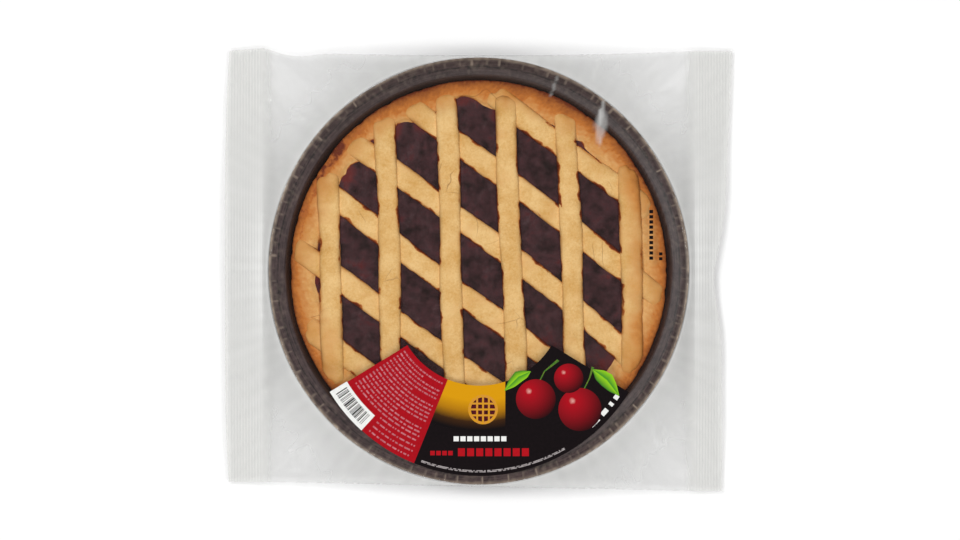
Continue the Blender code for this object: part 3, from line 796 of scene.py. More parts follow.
def make_case(look):
    case = turned("pressed_case", board_profile(look.board), CASE_SEGMENTS)
    points = places(case)
    radius, angle = polar(points)
    pleats = round(TURN * CASE_R / look.pleat_pitch)
    turn = angle * pleats / TURN
    index = np.floor(turn).astype(int) % pleats
    draw = random.Random(PLEAT_SEED)
    shift = np.array([draw.uniform(-0.28, 0.28) for _ in range(pleats)])
    depth = np.array([draw.uniform(0.15, 1.0) for _ in range(pleats)])
    long = np.array([1.0 if i % 2 == 0 else draw.uniform(0.1, 0.6) for i in range(pleats)])
    beside = np.abs((turn % 1.0) - 0.5 - shift[index]) * TURN / pleats * CASE_R
    fold = np.clip(1 - beside / PLEAT_HALF, 0, 1) * depth[index]
    on_wall = smooth(radius, WALL_FOOT - 1 * MM, WALL_FOOT + 3 * MM)
    on_lip = smooth(radius, FLANGE_OUTER - 4 * MM, FLANGE_OUTER + 1 * MM)
    upper = points[:, 2] > CASE_TOP - 2.2 * MM
    wobble = 0.14 * MM * np.sin(5 * angle + 1.0) + 0.1 * MM * np.sin(11 * angle)
    radius = radius + on_wall * (wobble - PLEAT_DEPTH * fold * (1 - 0.5 * on_lip))
    points[:, 0] = radius * np.cos(angle) * CASE_RX / CASE_R
    points[:, 1] = radius * np.sin(angle) * CASE_RY / CASE_R
    points[:, 2] -= LIP_NICK * fold * on_lip
    blot = grain(points, 5.0 * MM, 1.0)
    patch = grain(points, 13 * MM, 2.0)
    points[:, 2] += on_lip * 0.12 * MM * blot
    # the press line where the flange turns down into the lip, and a wandering crease
    line = radius - (FLANGE_OUTER + 0.2 * MM) - 0.7 * MM * patch
    crease = np.exp(-((line / (0.45 * MM)) ** 2)) * upper
    points[:, 2] -= 0.22 * MM * crease
    points[:, 2] = np.minimum(points[:, 2], CASE_TOP)
    move_to(case, points)
    on_edge = smooth(radius, FLANGE_OUTER + 0.6 * MM, FLANGE_OUTER + 1.6 * MM)
    rub_and_highlight = fold * on_edge * upper * long[index] * 0.75
    # painted highlight along the lip's outer edge, brightest at left and right
    edge = smooth(radius, CASE_R - 2.0 * MM, CASE_R - 0.4 * MM) * upper
    side = 0.55 + 0.45 * np.abs(np.cos(angle)) ** 1.5
    rub_and_highlight = np.maximum(rub_and_highlight, 0.9 * side * edge * (0.75 + 0.7 * grain(points, 3 * MM, 3.0)))
    on_flange = smooth(radius, WALL_TOP, WALL_TOP + 1.5 * MM) * upper
    rub_and_highlight = rub_and_highlight + on_flange * np.clip(0.16 * grain(points, 2.2 * MM, 4.0) + 0.1 * patch, 0, 0.2)
    paint(case, "rub_and_highlight", np.clip(rub_and_highlight, 0, 1))
    # butter blotches round the press line, then painted shade in the deepest pleats and along the
    # crease
    ring = bump(radius - (FLANGE_OUTER + 0.3 * MM), 4.6 * MM) * upper
    grease_and_crease_shade = 0.42 * ring * smooth(blot + 0.9 * patch, -0.1, 0.5)
    grease_and_crease_shade = np.maximum(grease_and_crease_shade, 0.5 * fold * ring * (depth[index] > 0.6))
    grease_and_crease_shade = np.maximum(grease_and_crease_shade, 0.62 * crease)
    paint(case, "grease_and_crease_shade", np.clip(grease_and_crease_shade, 0, 0.9))
    # painted shade on the inner wall, lighter on the right where the light falls, and painted darker
    # over the far part of the flange
    right = smooth(points[:, 0], 20 * MM, 110 * MM)
    shade = 1 - smooth(radius, WALL_TOP - 1.2 * MM, WALL_TOP + 0.8 * MM)
    back = 0.34 * upper * smooth(points[:, 1], 40 * MM, 105 * MM)
    paint(case, "shade", np.maximum(shade * (1 - 0.45 * right), back))
    face_out(case)
    soften(case, 50)
    dress(case, pressed_board(look), "paperboard", "baking_case")


def make_crust(look):
    """Rings for the floor, the outer side, the brow and the inner slope."""
    colours = look.edge_pale, look.edge_golden, look.edge_tan, look.edge_brown
    mat = shortcrust("Baked shortcrust edge", look, *colours)
    under = CASE_FOOT + BOARD + 0.3 * MM
    parts = [("floor", 0.0, 10 * MM, under), ("floor", 1.0, 70 * MM, under)]
    parts += [("floor", 1.0, 101 * MM, under)]
    parts += [("side", i / 9, 102 * MM + i * 0.1 * MM, under + (i + 1) * MM) for i in range(10)]
    parts += [("brow", i / 8, 103 * MM - i * 0.1 * MM, CREST + i * 0.01 * MM) for i in range(1, 9)]
    parts += [("slope", i / 12, 102 * MM - i * 0.1 * MM, CREST - i * 0.1 * MM) for i in range(1, 13)]
    parts += [("floor", 0.0, 90 * MM, CRUST_FLOOR), ("floor", 1.0, 10 * MM, CRUST_FLOOR)]
    crust = turned("baked_crust", [(radius, height) for _, _, radius, height in parts], CRUST_SEGMENTS)
    points = places(crust)
    angle = np.arctan2(points[:, 1], points[:, 0])[:CRUST_SEGMENTS]
    near, top = shore(angle), crest(angle)
    inset = EDGE_UNEVEN * (0.5 - 0.5 * EDGE_WAVE.at(angle))
    outer = case_room(top - BROW_DROP, angle) - inset
    circle = np.stack([np.cos(angle), np.sin(angle), 0 * angle], 1) * 0.107
    ragged = grain(circle, 2.4 * MM, 4.0) + 0.7 * grain(circle, 1.0 * MM, 5.0)
    crag = np.clip(grain(circle, 5.0 * MM, 45.0) - 0.25, 0, 1) * 1.5
    crumble = (0.35 * np.abs(ragged) + crag) * MM
    slope = [np.stack(rows[:4], 1) for rows in slope_arrays(angle)]
    radii, heights, bakes = [], [], []
    for kind, part, radius, height in parts:
        r = radius + 0 * angle
        z = height + 0 * angle
        bake = 0.4 + 0 * angle
        if kind == "side":
            low = case_room(under + 1 * MM, angle) - 0.3 * MM
            z = mix(under + 1 * MM, top - BROW_DROP, part) + 0.2 * MM * ragged * part
            r = np.minimum(mix(low, outer, part), case_room(z, angle))
            r = r - crumble * part**3
            bake = 1.0 + 0.2 * part + 0 * angle
        elif kind == "brow":
            turn = part * math.pi / 2
            fall = BROW_DROP * (1 - math.sin(turn))
            r = outer - (outer - CREST_RADIUS) * (1 - math.cos(turn))
            r = r - crumble * (1 - part)
            z = top - fall + 0.22 * MM * ragged * (1 - part)
            bake = mix(1.15, 0.5, part**0.8) + 0 * angle
        elif kind == "slope":
            r = mix(CREST_RADIUS, near - 0.4 * MM, part)
            z = np.array([np.interp(at, a, b) for at, a, b in zip(r, *slope)])
            bake = mix(0.5, 0.1, part) + 0 * angle
        radii.append(r)
        heights.append(z)
        bakes.append(bake)
    radii, heights, bakes = (np.concatenate(rows) for rows in (radii, heights, bakes))
    angles = np.tile(angle, len(parts))
    points = np.stack([radii * np.cos(angles), radii * np.sin(angles), heights], 1)
    shown = points[:, 2] > CRUST_FLOOR + 1.5 * MM
    rough = 0.26 * MM * grain(points, 4.5 * MM, 6.0) + 0.09 * MM * grain(points, 1.3 * MM, 7.0)
    points[:, 2] += shown * rough
    move_to(crust, points)
    blotch = 0.12 * grain(points, 14 * MM, 8.0) + 0.16 * grain(points, 1.6 * MM, 9.0)
    # the oven was hotter at the far side, and paler at the left and right
    around = 0.05 - 0.17 * np.cos(angles) ** 2
    paint(crust, "bake", np.clip(bakes + (blotch + around) * shown, 0, 1.5))
    jam_line = 1 - smooth(radii - np.tile(near, len(parts)), 0.2 * MM, 1.6 * MM)
    jam_line = jam_line * shown * (0.6 + 0.8 * grain(points, 4 * MM, 10.0))
    leak = bump(angles - LEAK_TOWARDS, LEAK_REACH) * shown
    leak = leak * smooth(radii, 101.5 * MM, 106 * MM) * (0.9 + 0.8 * grain(points, 7 * MM, 47.0))
    paint(crust, "stain", np.clip(np.maximum(jam_line, 0.85 * leak), 0, 1))
    face_out(crust)
    soften(crust, 60)
    dress(crust, mat, "crust", "crust")


def make_jam(look):
    rings = 56
    profile = [(JAM_RADIUS * (1.5 + i) / (rings + 0.5), JAM_TOP) for i in range(rings)]
    profile.append((JAM_RADIUS, JAM_TOP - 1.2 * MM))
    profile.append((JAM_RADIUS - 2 * MM, JAM_FLOOR))
    profile.append((JAM_RADIUS * 0.5, JAM_FLOOR))
    jam = turned("jam_filling", profile, JAM_SEGMENTS)
    points = places(jam)
    radius, angle = polar(points)
    radius = radius * (shore(angle) + 0.5 * MM) / JAM_RADIUS
    points[:, 0] = radius * np.cos(angle)
    points[:, 1] = radius * np.sin(angle)
    top = points[:, 2] > JAM_TOP - 0.1 * MM
    lumps = grain(points, 7 * MM, 11.0) * 0.45 * MM + grain(points, 2.6 * MM, 12.0) * 0.16 * MM
    height = jam_height(points[:, 0], points[:, 1]) + lumps - 0.25 * MM
    points[:, 2] = np.where(top, height, points[:, 2])
    move_to(jam, points)
    rim = smooth(radius - shore(angle), -11 * MM, -1 * MM)
    thin = rim * (0.45 + 0.9 * grain(points, 9 * MM, 13.0))
    spots = 0.3 * smooth(grain(points, 4 * MM, 14.0), 0.5, 0.7)
    paint(jam, "thin", np.clip(np.maximum(thin, spots), 0, 1))
    face_out(jam)
    soften(jam, 60)
    dress(jam, cherry_jam(look), "jam", "jam")


class Strip:
    """One strip of dough, on the same path as its solid."""

    def __init__(self, node, course, slant, width, thickness, seed):
        draw = random.Random(seed)
        place, self.lean, self.bend, ends = course
        self.node = node
        self.seed = seed
        self.along = np.array([math.cos(slant), math.sin(slant)])
        self.across = np.array([-self.along[1], self.along[0]])
        self.place = place
        self.width = width
        self.thickness = thickness
        self.phase = draw.uniform(0, TURN)
        self.fat = draw.uniform(0, TURN)
        self.reach = math.sqrt(STRIP_END**2 - place**2)
        self.start = -self.reach - ends[0] * MM + draw.uniform(-1, 1) * STRIP_END_SPREAD
        self.end = self.reach + ends[1] * MM + draw.uniform(-1, 1) * STRIP_END_SPREAD
        self.pressed = []
        self.line = None

    def middle(self, along):
        wander = STRIP_WANDER * math.sin(along / WANDER_WAVE + self.phase)
        side = self.place + (self.lean + self.bend * along) * along + wander
        return self.along * along + self.across * side

    def half_width(self, along):
        swell = WIDTH_SPREAD * math.sin(along / SWELL_WAVE + self.fat)
        return 0.5 * self.width * (1 + swell)

    def melt(self, along):
        """1 at the ends, where the strip has sunk into the pastry edge."""
        near = min(along - self.start, self.end - along)
        return 1 - float(smooth(near, 0.0, TIP_REACH))

    def depth(self, along):
        thin = max((float(bump(along - at, PRESS_REACH)) for at in self.pressed), default=0.0)
        full = mix(self.thickness, UNDER_PRESSED, thin)
        return full * (1 - TIP_SINK * self.melt(along))

    def end_shift(self, along, side):
        offset = side * 0.5 * self.width
        room = max(STRIP_END**2 - (self.place + offset) ** 2, 0.0)
        cut = min(max(math.sqrt(room) - self.reach, -END_CUT_LIMIT), END_CUT_LIMIT)
        near = float(bump(along - self.end, END_CUT) - bump(along - self.start, END_CUT))
        return cut * near

    def spot(self, along, side):
        moved = along + self.end_shift(along, side)
        return self.middle(moved) + self.across * (side * self.half_width(along))

    def place_of(self, x, y):
        along = x * self.along[0] + y * self.along[1]
        centre = self.middle(along)
        return along, (x - centre[0]) * self.across[0] + (y - centre[1]) * self.across[1]

    def top_over(self, x, y):
        """Height of the strip's crowned top at a point in plan, or None beside it."""
        along, across = self.place_of(x, y)
        half = self.half_width(along)
        side = across / half
        along -= self.end_shift(along, max(min(side, 1.0), -1.0))
        if abs(side) > 1.0 or not self.start <= along <= self.end:
            return None
        crown = (1 - abs(side) ** 3.0) ** 0.5
        return mix(ground(x, y), self.height(along), crown)

    def height(self, along):
        """Height of the strip's top along its middle."""
        stops, tops = self.line
        return float(np.interp(along, stops, tops))

    def lay(self, below):
        count = max(int((self.end - self.start) / LAY_STEP), 2)
        stops = np.linspace(self.start, self.end, count)
        found = []
        for along in stops:
            highest = 0.0
            for ahead in (-1.5, 0.0, 1.5):
                for side in (-0.9, -0.45, 0.0, 0.45, 0.9):
                    x, y = self.spot(along + ahead * MM, side)
                    highest = max(highest, support(x, y, below))
            found.append(highest)
        found = np.array(found)
        held = [np.max(found - STRIP_FALL * np.abs(stops - s)) for s in stops]
        tops = np.array(held) + np.array([self.depth(s) for s in stops]) + LAY_GAP
        kernel = np.hanning(7)
        padded = np.pad(tops, 3, mode="edge")
        self.line = stops, np.convolve(padded, kernel / kernel.sum(), mode="valid")

    def rod(self):
        """A closed rod along Z, cut into rings, to be pressed to the strip's shape."""
        deselect()
        bpy.ops.mesh.primitive_cylinder_add(
            vertices=SECTION_SIDES, radius=1.0, depth=2.0, end_fill_type="NGON"
        )
        rod = bpy.context.object
        rod.name = rod.data.name = self.node.replace("strip", "dough_strip")
        settle(rod)
        edit(rod, "EDGE")
        bpy.ops.mesh.select_all(action="DESELECT")
        leave_edit()
        for edge in rod.data.edges:
            a, b = (rod.data.vertices[i].co.z for i in edge.vertices)
            edge.select = abs(a - b) > 1.0
        bpy.ops.object.mode_set(mode="EDIT")
        bpy.ops.mesh.subdivide(number_cuts=int((self.end - self.start) / RING_STEP))
        leave_edit()
        return rod

    def build(self, below, mat):
        rod = self.rod()
        length = self.end - self.start
        points = places(rod)
        angle = np.arctan2(points[:, 1], points[:, 0])
        share = 0.5 + 0.5 * points[:, 2]
        new = np.empty_like(points)
        flank = np.empty(len(points))
        wet = np.empty(len(points))
        for i in range(len(points)):
            along = self.start + share[i] * length
            tip = min(share[i], 1 - share[i]) * length
            end = max(0.0, 1 - tip / TIP_ROUND)
            pull = math.sqrt(max(1 - end**2.6, 0.0))
            melt = self.melt(along)
            soft = mix(0.6, 0.95, melt)
            c, s = math.cos(angle[i]), math.sin(angle[i])
            side = math.copysign(abs(c) ** soft, c)
            up = max(s, 0.0) ** soft
            down = max(-s, 0.0) ** 0.7
            v = side * (0.35 + 0.65 * pull)
            x, y = self.spot(along, v)
            rough = noise.noise(Vector((along / (5.0 * MM), 3.0 * (side > 0), self.seed)))
            fine = noise.noise(Vector((along / (1.5 * MM), 5.0 * (side > 0), self.seed)))
            push = (0.3 * rough + 0.1 * fine) * MM * abs(v) ** 3 * math.copysign(1, v)
            push *= 1 - 0.7 * melt
            x += self.across[0] * push
            y += self.across[1] * push
            over = math.hypot(x, y) / STRIP_LIMIT
            if over > 1:
                x, y = x / over, y / over
            low = support(x, y, below)
            wet[i] = low <= JAM_TOP + 1.2 * JAM_LUMP
            rise = up * (0.3 + 0.7 * pull)
            new[i] = x, y, mix(low - SUNK, self.height(along), rise) - 0.3 * MM * down
            flank[i] = abs(side)
        upper = np.sin(angle) > 0.05
        relief = 0.17 * MM * grain(new, 6 * MM, self.seed)
        new[:, 2] += upper * (relief + 0.06 * MM * grain(new, 1.4 * MM, self.seed))
        move_to(rod, new)
        radius = np.hypot(new[:, 0], new[:, 1])
        blotch = 0.2 * grain(new, 12 * MM, 20.0) + 0.1 * grain(new, 3 * MM, 21.0)
        far = smooth(new[:, 0], *RIGHT_BAKED) * bool(below)
        bake = 0.42 * smooth(radius, *RIM_BAKED) + 0.25 * far + blotch
        bake = bake + 0.3 * wet * smooth(flank, 0.7, 1.0)
        paint(rod, "bake", np.clip(bake, 0, 1.2))
        creep = 0.34 * grain(new, 6 * MM, 22.0)
        stain = smooth(flank + creep, 0.74, 1.1) * wet
        paint(rod, "stain", np.clip(stain, 0, 1))
        face_out(rod)
        soften(rod, 70)
        dress(rod, mat, "lattice", self.node)


def support(x, y, below):
    """Height of what a strip lies on at a point."""
    tops = [strip.top_over(x, y) for strip in below]
    return max([ground(x, y)] + [top for top in tops if top is not None])


def crossing(strip, other):
    """How far along a strip another one crosses it, or None."""
    stops = np.arange(strip.start, strip.end, STRIP_STEP)
    near = [(abs(other.place_of(*strip.middle(s))[1]), s) for s in stops]
    distance, along = min(near)
    return along if distance < STRIP_STEP else None


def make_lattice(look):
    colours = look.strip_pale, look.strip_golden, look.strip_tan, look.strip_brown
    mat = shortcrust("Baked shortcrust strip", look, *colours)
    courses = zip(UNDER_PLACES, UNDER_LEANS, UNDER_BENDS, UNDER_ENDS)
    shape = UNDER_SLANT, look.under_width, UNDER_THICKNESS
    under = [
        Strip(f"strip_under_{i + 1}", course, *shape, UNDER_SEED + i)
        for i, course in enumerate(courses)
    ]
    courses = zip(TOP_PLACES, TOP_LEANS, TOP_BENDS, TOP_ENDS)
    shape = TOP_SLANT, look.top_width, TOP_THICKNESS
    top = [
        Strip(f"strip_top_{i + 1}", course, *shape, TOP_SEED + i)
        for i, course in enumerate(courses)
    ]
    for low in under:
        crossed = [crossing(low, high) for high in top]
        low.pressed = [along for along in crossed if along is not None]
        low.lay([])
    for high in top:
        high.lay(under)
    for low in under:
        low.build([], mat)
    for high in top:
        high.build(under, mat)


def fold_y(x, side):
    """Where the bag's far or near fold runs, bowed and a little wavy."""
    part = np.clip(x / SEAL_INNER, -1, 1)
    spare = BAG_HALF_WIDTH - FOLD_MIDDLE
    if side > 0:
        wave = 1.9 * MM * np.exp(-(((x + 127 * MM) / (9 * MM)) ** 2))
        wave = wave - 2.2 * MM * np.exp(-(((x + 106 * MM) / (13 * MM)) ** 2))
        return FOLD_MIDDLE + spare * part * part + wave
    return -(FOLD_MIDDLE + spare * (0.82 * part + 0.18 * part * part))


def fold_height(x):
    """Height of the side folds, which sink from the case to the seals."""
    part = smooth(np.abs(x), 5.0 * MM, SEAL_INNER + 20 * MM) * 1.12
    return np.maximum(mix(FOLD_RISE, SEAL_RISE_INNER[0], part), SEAL_RISE_INNER[0])


def seal_height(y, rises):
    """Height along a seal, from its middle to its ends."""
    part = y / BAG_HALF_WIDTH
    return mix(rises[1], rises[0], part * part)


def end_x(y, side):
    """Where the bag ends: a straight left end, and a right end that is torn in."""
    part = y / BAG_HALF_WIDTH
    if side < 0:
        return -BAG_HALF_LENGTH + LEFT_CORNER_ROUND * part**4
    up = np.clip(part, 0.0, 1.0)
    dent = RIGHT_END_DENT * np.exp(-(((y + 4 * MM) / (24 * MM)) ** 2))
    return BAG_HALF_LENGTH - RIGHT_END_SHORT * (1 - up) - dent * (1 - up**2)


def outline_reach(x, y):
    """Distance from the middle to the bag's inner outline along the ray through a
    point, and the height of the outline there."""
    radius = np.maximum(np.hypot(x, y), 1e-6)
    c, s = x / radius, y / radius
    by_seal = SEAL_INNER / np.maximum(np.abs(c), 1e-6)
    on_x = np.clip(c * by_seal, -SEAL_INNER, SEAL_INNER)
    for _ in range(3):
        fold = np.where(s > 0, fold_y(on_x, 1), -fold_y(on_x, -1))
        by_fold = fold / np.maximum(np.abs(s), 1e-6)
        on_x = np.clip(c * by_fold, -SEAL_INNER, SEAL_INNER)
    reach = np.minimum(by_seal, by_fold)
    seal = seal_height(s * reach, SEAL_RISE_INNER)
    height = np.where(by_seal <= by_fold, seal, fold_height(on_x))
    return reach, height


class Creases:
    """Straight folds in the film, each a soft ridge with a real width."""

    def __init__(self):
        self.lines = []

    def line(self, a, b, width, height):
        self.lines.append((np.array(a), np.array(b), width, height))

    def at(self, x, y):
        total = np.zeros_like(x)
        for a, b, width, height in self.lines:
            way = b - a
            length = math.hypot(*way)
            unit = way / length
            along = (x - a[0]) * unit[0] + (y - a[1]) * unit[1]
            off = (x - a[0]) * -unit[1] + (y - a[1]) * unit[0]
            part = np.clip(along / length, 0, 1)
            taper = np.sin(math.pi * part) ** 0.6 * ((along > 0) & (along < length))
            total += height * np.exp(-np.abs(off / width) ** 1.6) * taper
        return total


def film_creases(seed, count):
    """Creases fan out from the case towards the corners and off the end seals."""
    draw = random.Random(seed)
    made = Creases()
    for _ in range(count):
        corner = draw.choice((45, 135, 225, 315))
        angle = math.radians(corner + draw.gauss(0, 17))
        start = draw.uniform(125, 146) * MM
        length = draw.uniform(14, 46) * MM
        turn = angle + draw.gauss(0, 0.35)
        a = (start * math.cos(angle), start * math.sin(angle))
        b = (a[0] + length * math.cos(turn), a[1] + length * math.sin(turn))
        width = draw.uniform(0.7, 2.4) * MM
        made.line(a, b, width, draw.choice((-1, 1)) * draw.uniform(0.25, 1.0) * MM)
    for side in (-1, 1):
        for _ in range(count // 2):
            y = draw.uniform(-118, 118) * MM
            room = SEAL_INNER - math.sqrt(max((124 * MM) ** 2 - y * y, 0))
            length = draw.uniform(0.35, 0.95) * max(room, 4 * MM)
            a = (side * (SEAL_INNER + 3 * MM), y)
            b = (side * (SEAL_INNER - length), y + draw.gauss(0, 0.16) * length)
            width = draw.uniform(0.5, 1.4) * MM
            made.line(a, b, width, draw.choice((-1, 1)) * draw.uniform(0.15, 0.5) * MM)
    return made


def film_sheet(name, above, creases, look):
    """One sheet of the bag: a grid laid over its plan, then pressed to height."""
    band, middle = BAND_CELLS, MIDDLE_CELLS
    columns = 2 * band + middle
    sheet = flat_grid(name, columns, ROW_CELLS)
    points = places(sheet)
    column = np.round((points[:, 0] + 1) / 2 * columns).astype(int)
    v = points[:, 1]
    v = np.sign(v) * (1 - (1 - np.abs(v)) ** 1.18)
    in_left = column <= band
    in_right = column >= columns - band
    inner = np.clip((column - band) / middle, 0, 1) * 2 - 1
    x = SEAL_INNER * inner
    y = mix(fold_y(x, -1), fold_y(x, 1), 0.5 + 0.5 * v)
    out_left = (band - column) / band
    out_right = (column - columns + band) / band
    x = np.where(in_left, mix(-SEAL_INNER, end_x(y, -1), out_left), x)
    x = np.where(in_right, mix(SEAL_INNER, end_x(y, 1), out_right), x)
    out = np.where(in_left, out_left, np.where(in_right, out_right, 0.0))
    y = y - LEFT_CORNER_DROP * np.where(in_left, out_left, 0) * smooth(v, 0.7, 1.0)
    in_band = in_left | in_right
    reach, rim = outline_reach(x, y)
    radius = np.hypot(x, y)
    angle = np.arctan2(y, x)
    if above:
        near = np.hypot((CASE_RX + 0.8 * MM) * np.cos(angle), (CASE_RY + 0.5 * MM) * np.sin(angle))
        part = np.clip((radius - near) / np.maximum(reach - near, 0.05 * MM), 0, 1)
        z = mix(BAG_TOP, rim, part)
    else:
        part = np.clip((radius - BAG_REST) / (reach - BAG_REST), 0, 1)
        z = rim * part**1.25 + 0.1 * MM * (1 - part)
    band_z = mix(seal_height(y, SEAL_RISE_INNER), seal_height(y, SEAL_RISE_OUTER), out)
    ribs = np.sin((np.abs(x) - SEAL_INNER) * TURN / look.rib_pitch) * smooth(out, 0.0, 0.08)
    ribs = ribs * (0.75 + 0.45 * np.sin(y / (17 * MM) + 1.0))
    wave = 0.7 * MM * np.sin(y / (19 * MM)) + 0.35 * MM * np.sin(y / (7.5 * MM) + 1.3)
    band_z = band_z + look.rib_height * ribs + out * wave
    z = np.where(in_band, band_z, z)
    edge = np.abs(v) >= 1 - 1e-9
    tip = (column == 0) | (column == columns)
    bordered = edge | tip
    free = smooth(1 - np.abs(v), 0.0, 0.02)
    z = np.where(in_band & ~bordered, z + (0.5 if above else -0.5) * SEAL_WELD, z)
    ruck = creases.at(x, y) * free * smooth(part, 0.0, 0.12) * (1 - smooth(out, 0.0, 0.1))
    flat = np.stack([x, y, 0 * x], 1)
    soft = grain(flat, 16 * MM, 30.0 if above else 31.0)
    z = z + np.where(bordered | in_band, 0, ruck + free * part * 0.7 * MM * soft)
    z = np.maximum(z, 0.1 * MM)
    move_to(sheet, np.stack([x, y, z], 1))
    sharp = np.clip(np.abs(ruck) / (1.0 * MM), 0, 1)
    beside = 0 * x
    pressed = smooth(np.abs(x), SEAL_INNER - 7 * MM, SEAL_INNER + 2 * MM)
    haze_and_sheen = 0.012 + 0.06 * sharp + pressed * (0.25 + 0.03 * ribs)
    if above:
        over = 1 - smooth(radius, *OVER_TART)
        right = 0.5 + 0.5 * np.cos(angle - math.radians(8))
        contact_sheen = smooth(radius, *CONTACT_INNER) * (1 - smooth(radius, *CONTACT_OUTER))
        # loose film falls in soft rays away from the case
        rays = np.stack([0.16 * radius, 130 * MM * angle, 0 * x], 1)
        slack = 1 + 0.2 * grain(flat, 11 * MM, 33.0) + 0.36 * grain(rays, 5 * MM, 34.0)
        haze_and_sheen = haze_and_sheen * (1 - 0.85 * over)
        # painted light and shade in the film's milk beside the case: more milk towards the lower side
        # paints it darker, and thick milk next to the lip paints light over the case's shadow on the
        # floor
        low = 0.5 - 0.5 * np.sin(angle)
        beside = (0.155 + 0.005 * right + 0.055 * low) * slack
        beside = beside + 0.5 * np.exp(-np.maximum(radius - LOOSE_FROM, 0) / LOOSE_FADE)
        # painted sheen on the ring where the film lies on the lip, stronger on the right, and painted
        # glints
        haze_and_sheen = haze_and_sheen + contact_sheen * (0.002 + 0.05 * right**2)
        haze_and_sheen = haze_and_sheen + glints(x, y)
    paint(sheet, "haze_and_sheen", np.clip(haze_and_sheen, 0, 1))
    paint(sheet, "beside", np.clip(beside, 0, 1))
    paint(sheet, "crush", np.clip(pressed * (0.75 + 0.25 * ribs) + 0.4 * sharp, 0, 1))
    return sheet


def glints(x, y):
    """Painted highlights: white flashes where the tight film would mirror a lamp, laid as kites along
    short lines.
    """
    total = 0 * x
    for (x0, y0), (x1, y1), wide, strength in FILM_STREAKS:
        way = np.array([x1 - x0, y1 - y0]) * MM
        length = math.hypot(*way)
        along = ((x - x0 * MM) * way[0] + (y - y0 * MM) * way[1]) / length
        off = np.abs((x - x0 * MM) * way[1] - (y - y0 * MM) * way[0]) / length
        share = np.clip(along / length, 0, 1)
        inside = (along > 0) & (along < length)
        half = np.maximum(wide * MM * (1 - np.abs(2 * share - 1)), 0.3 * MM)
        total = total + inside * strength * (1 - smooth(off, 0.35 * half, half))
    return total


def make_film(look):
    upper = film_sheet("flow_wrap_film", True, film_creases(*UPPER_CREASES), look)
    lower = film_sheet("lower_sheet", False, film_creases(*LOWER_CREASES), look)
    choose(upper)
    lower.select_set(True)
    bpy.ops.object.join()
    edit(upper)
    bpy.ops.mesh.remove_doubles(threshold=0.02 * MM)
    bpy.ops.mesh.normals_make_consistent(inside=False)
    leave_edit()
    soften(upper, 80)
    dress(upper, film_material(look), "film", "bag_film")


def label_join(radius):
    """Angle at each radius of the upright join between the yellow and the black."""
    return math.radians(270) + np.arcsin(LABEL_JOIN / radius)


def patch(name, mat, r0, r1, a0, a1, layer, rings=1, pitch=1.8):
    """A field of ink: a grid bent round the label between two radii and two angles.
    An angle can also be a function of the radius."""
    start, end = (a(r1) if callable(a) else a for a in (a0, a1))
    columns = max(int((end - start) * r1 / (pitch * MM)), 2)
    field = flat_grid(name, columns, rings)
    points = places(field)
    across, up = 0.5 + points[:, 0] / 2, 0.5 + points[:, 1] / 2
    radius = mix(r0, r1, up)
    start, end = (a(radius) if callable(a) else a for a in (a0, a1))
    lay_round(field, radius, mix(start, end, across), layer)
    dress(field, mat, "film")
    return field


def flat_grid(name, columns, rows):
    """A grid of cells from -1 to 1 both ways, to be bent into shape."""
    deselect()
    bpy.ops.mesh.primitive_grid_add(x_subdivisions=columns, y_subdivisions=rows, size=2)
    field = bpy.context.object
    field.name = field.data.name = name
    return field


def lay_round(field, radius, angle, layer):
    """Bends a flat grid, given as radii and angles, on to the film."""
    x = LABEL_CENTRE[0] + radius * np.cos(angle)
    y = LABEL_CENTRE[1] + radius * np.sin(angle)
    move_to(field, np.stack([x, y, 0 * x + PRINT_Z + layer * INK], 1))
    face_out(field)
    if field.data.polygons[0].normal.z < 0:
        edit(field)
        bpy.ops.mesh.flip_normals()
        leave_edit()


def keep_cells(field, columns, keep):
    """Deletes the cells of a flat grid that carry no ink."""
    edit(field, "FACE")
    bpy.ops.mesh.select_all(action="DESELECT")
    leave_edit()
    for face in field.data.polygons:
        row, column = divmod(face.index, columns)
        face.select = not keep[row][column]
    bpy.ops.object.mode_set(mode="EDIT")
    bpy.ops.mesh.delete(type="FACE")
    leave_edit()


def small_print(name, mat, radii, tall, a0, a1, layer, seed, word=4, fade=0.2):
    """Rows of plain blocks, as lines of small print look from a step away. The
    grid has a row of cells for each line and one for each gap between two."""
    draw = random.Random(seed)
    columns = max(int((a1 - a0) * radii[-1] / (0.9 * MM)), 2)
    rows = 2 * len(radii) - 1
    field = flat_grid(name, columns, rows)
    keep = []
    for row in range(rows):
        line = []
        while row % 2 == 0 and len(line) < columns:
            line += [True] * draw.randint(1, word) + [False]
        if draw.random() < fade:
            line = [ink and i < 0.6 * columns for i, ink in enumerate(line)]
        keep.append((line + [False] * columns)[:columns])
    keep_cells(field, columns, keep)
    points = places(field)
    level = (0.5 + points[:, 1] / 2) * rows
    edges = []
    for radius in radii:
        edges += [radius - tall / 2, radius + tall / 2]
    radius = np.interp(level, range(rows + 1), edges)
    lay_round(field, radius, mix(a0, a1, 0.5 + points[:, 0] / 2), layer)
    dress(field, mat, "film")


def every_other(name, widths):
    """A row of cells of some widths with every second one left out: the piece, and its
    points' shares of the way along and up."""
    columns = len(widths)
    field = flat_grid(name, columns, 1)
    keep_cells(field, columns, [[i % 2 == 0 for i in range(columns)]])
    points = places(field)
    ends = np.concatenate([[0], np.cumsum(widths)]) / sum(widths)
    across = np.interp((0.5 + points[:, 0] / 2) * columns, range(columns + 1), ends)
    return field, across, 0.5 + points[:, 1] / 2


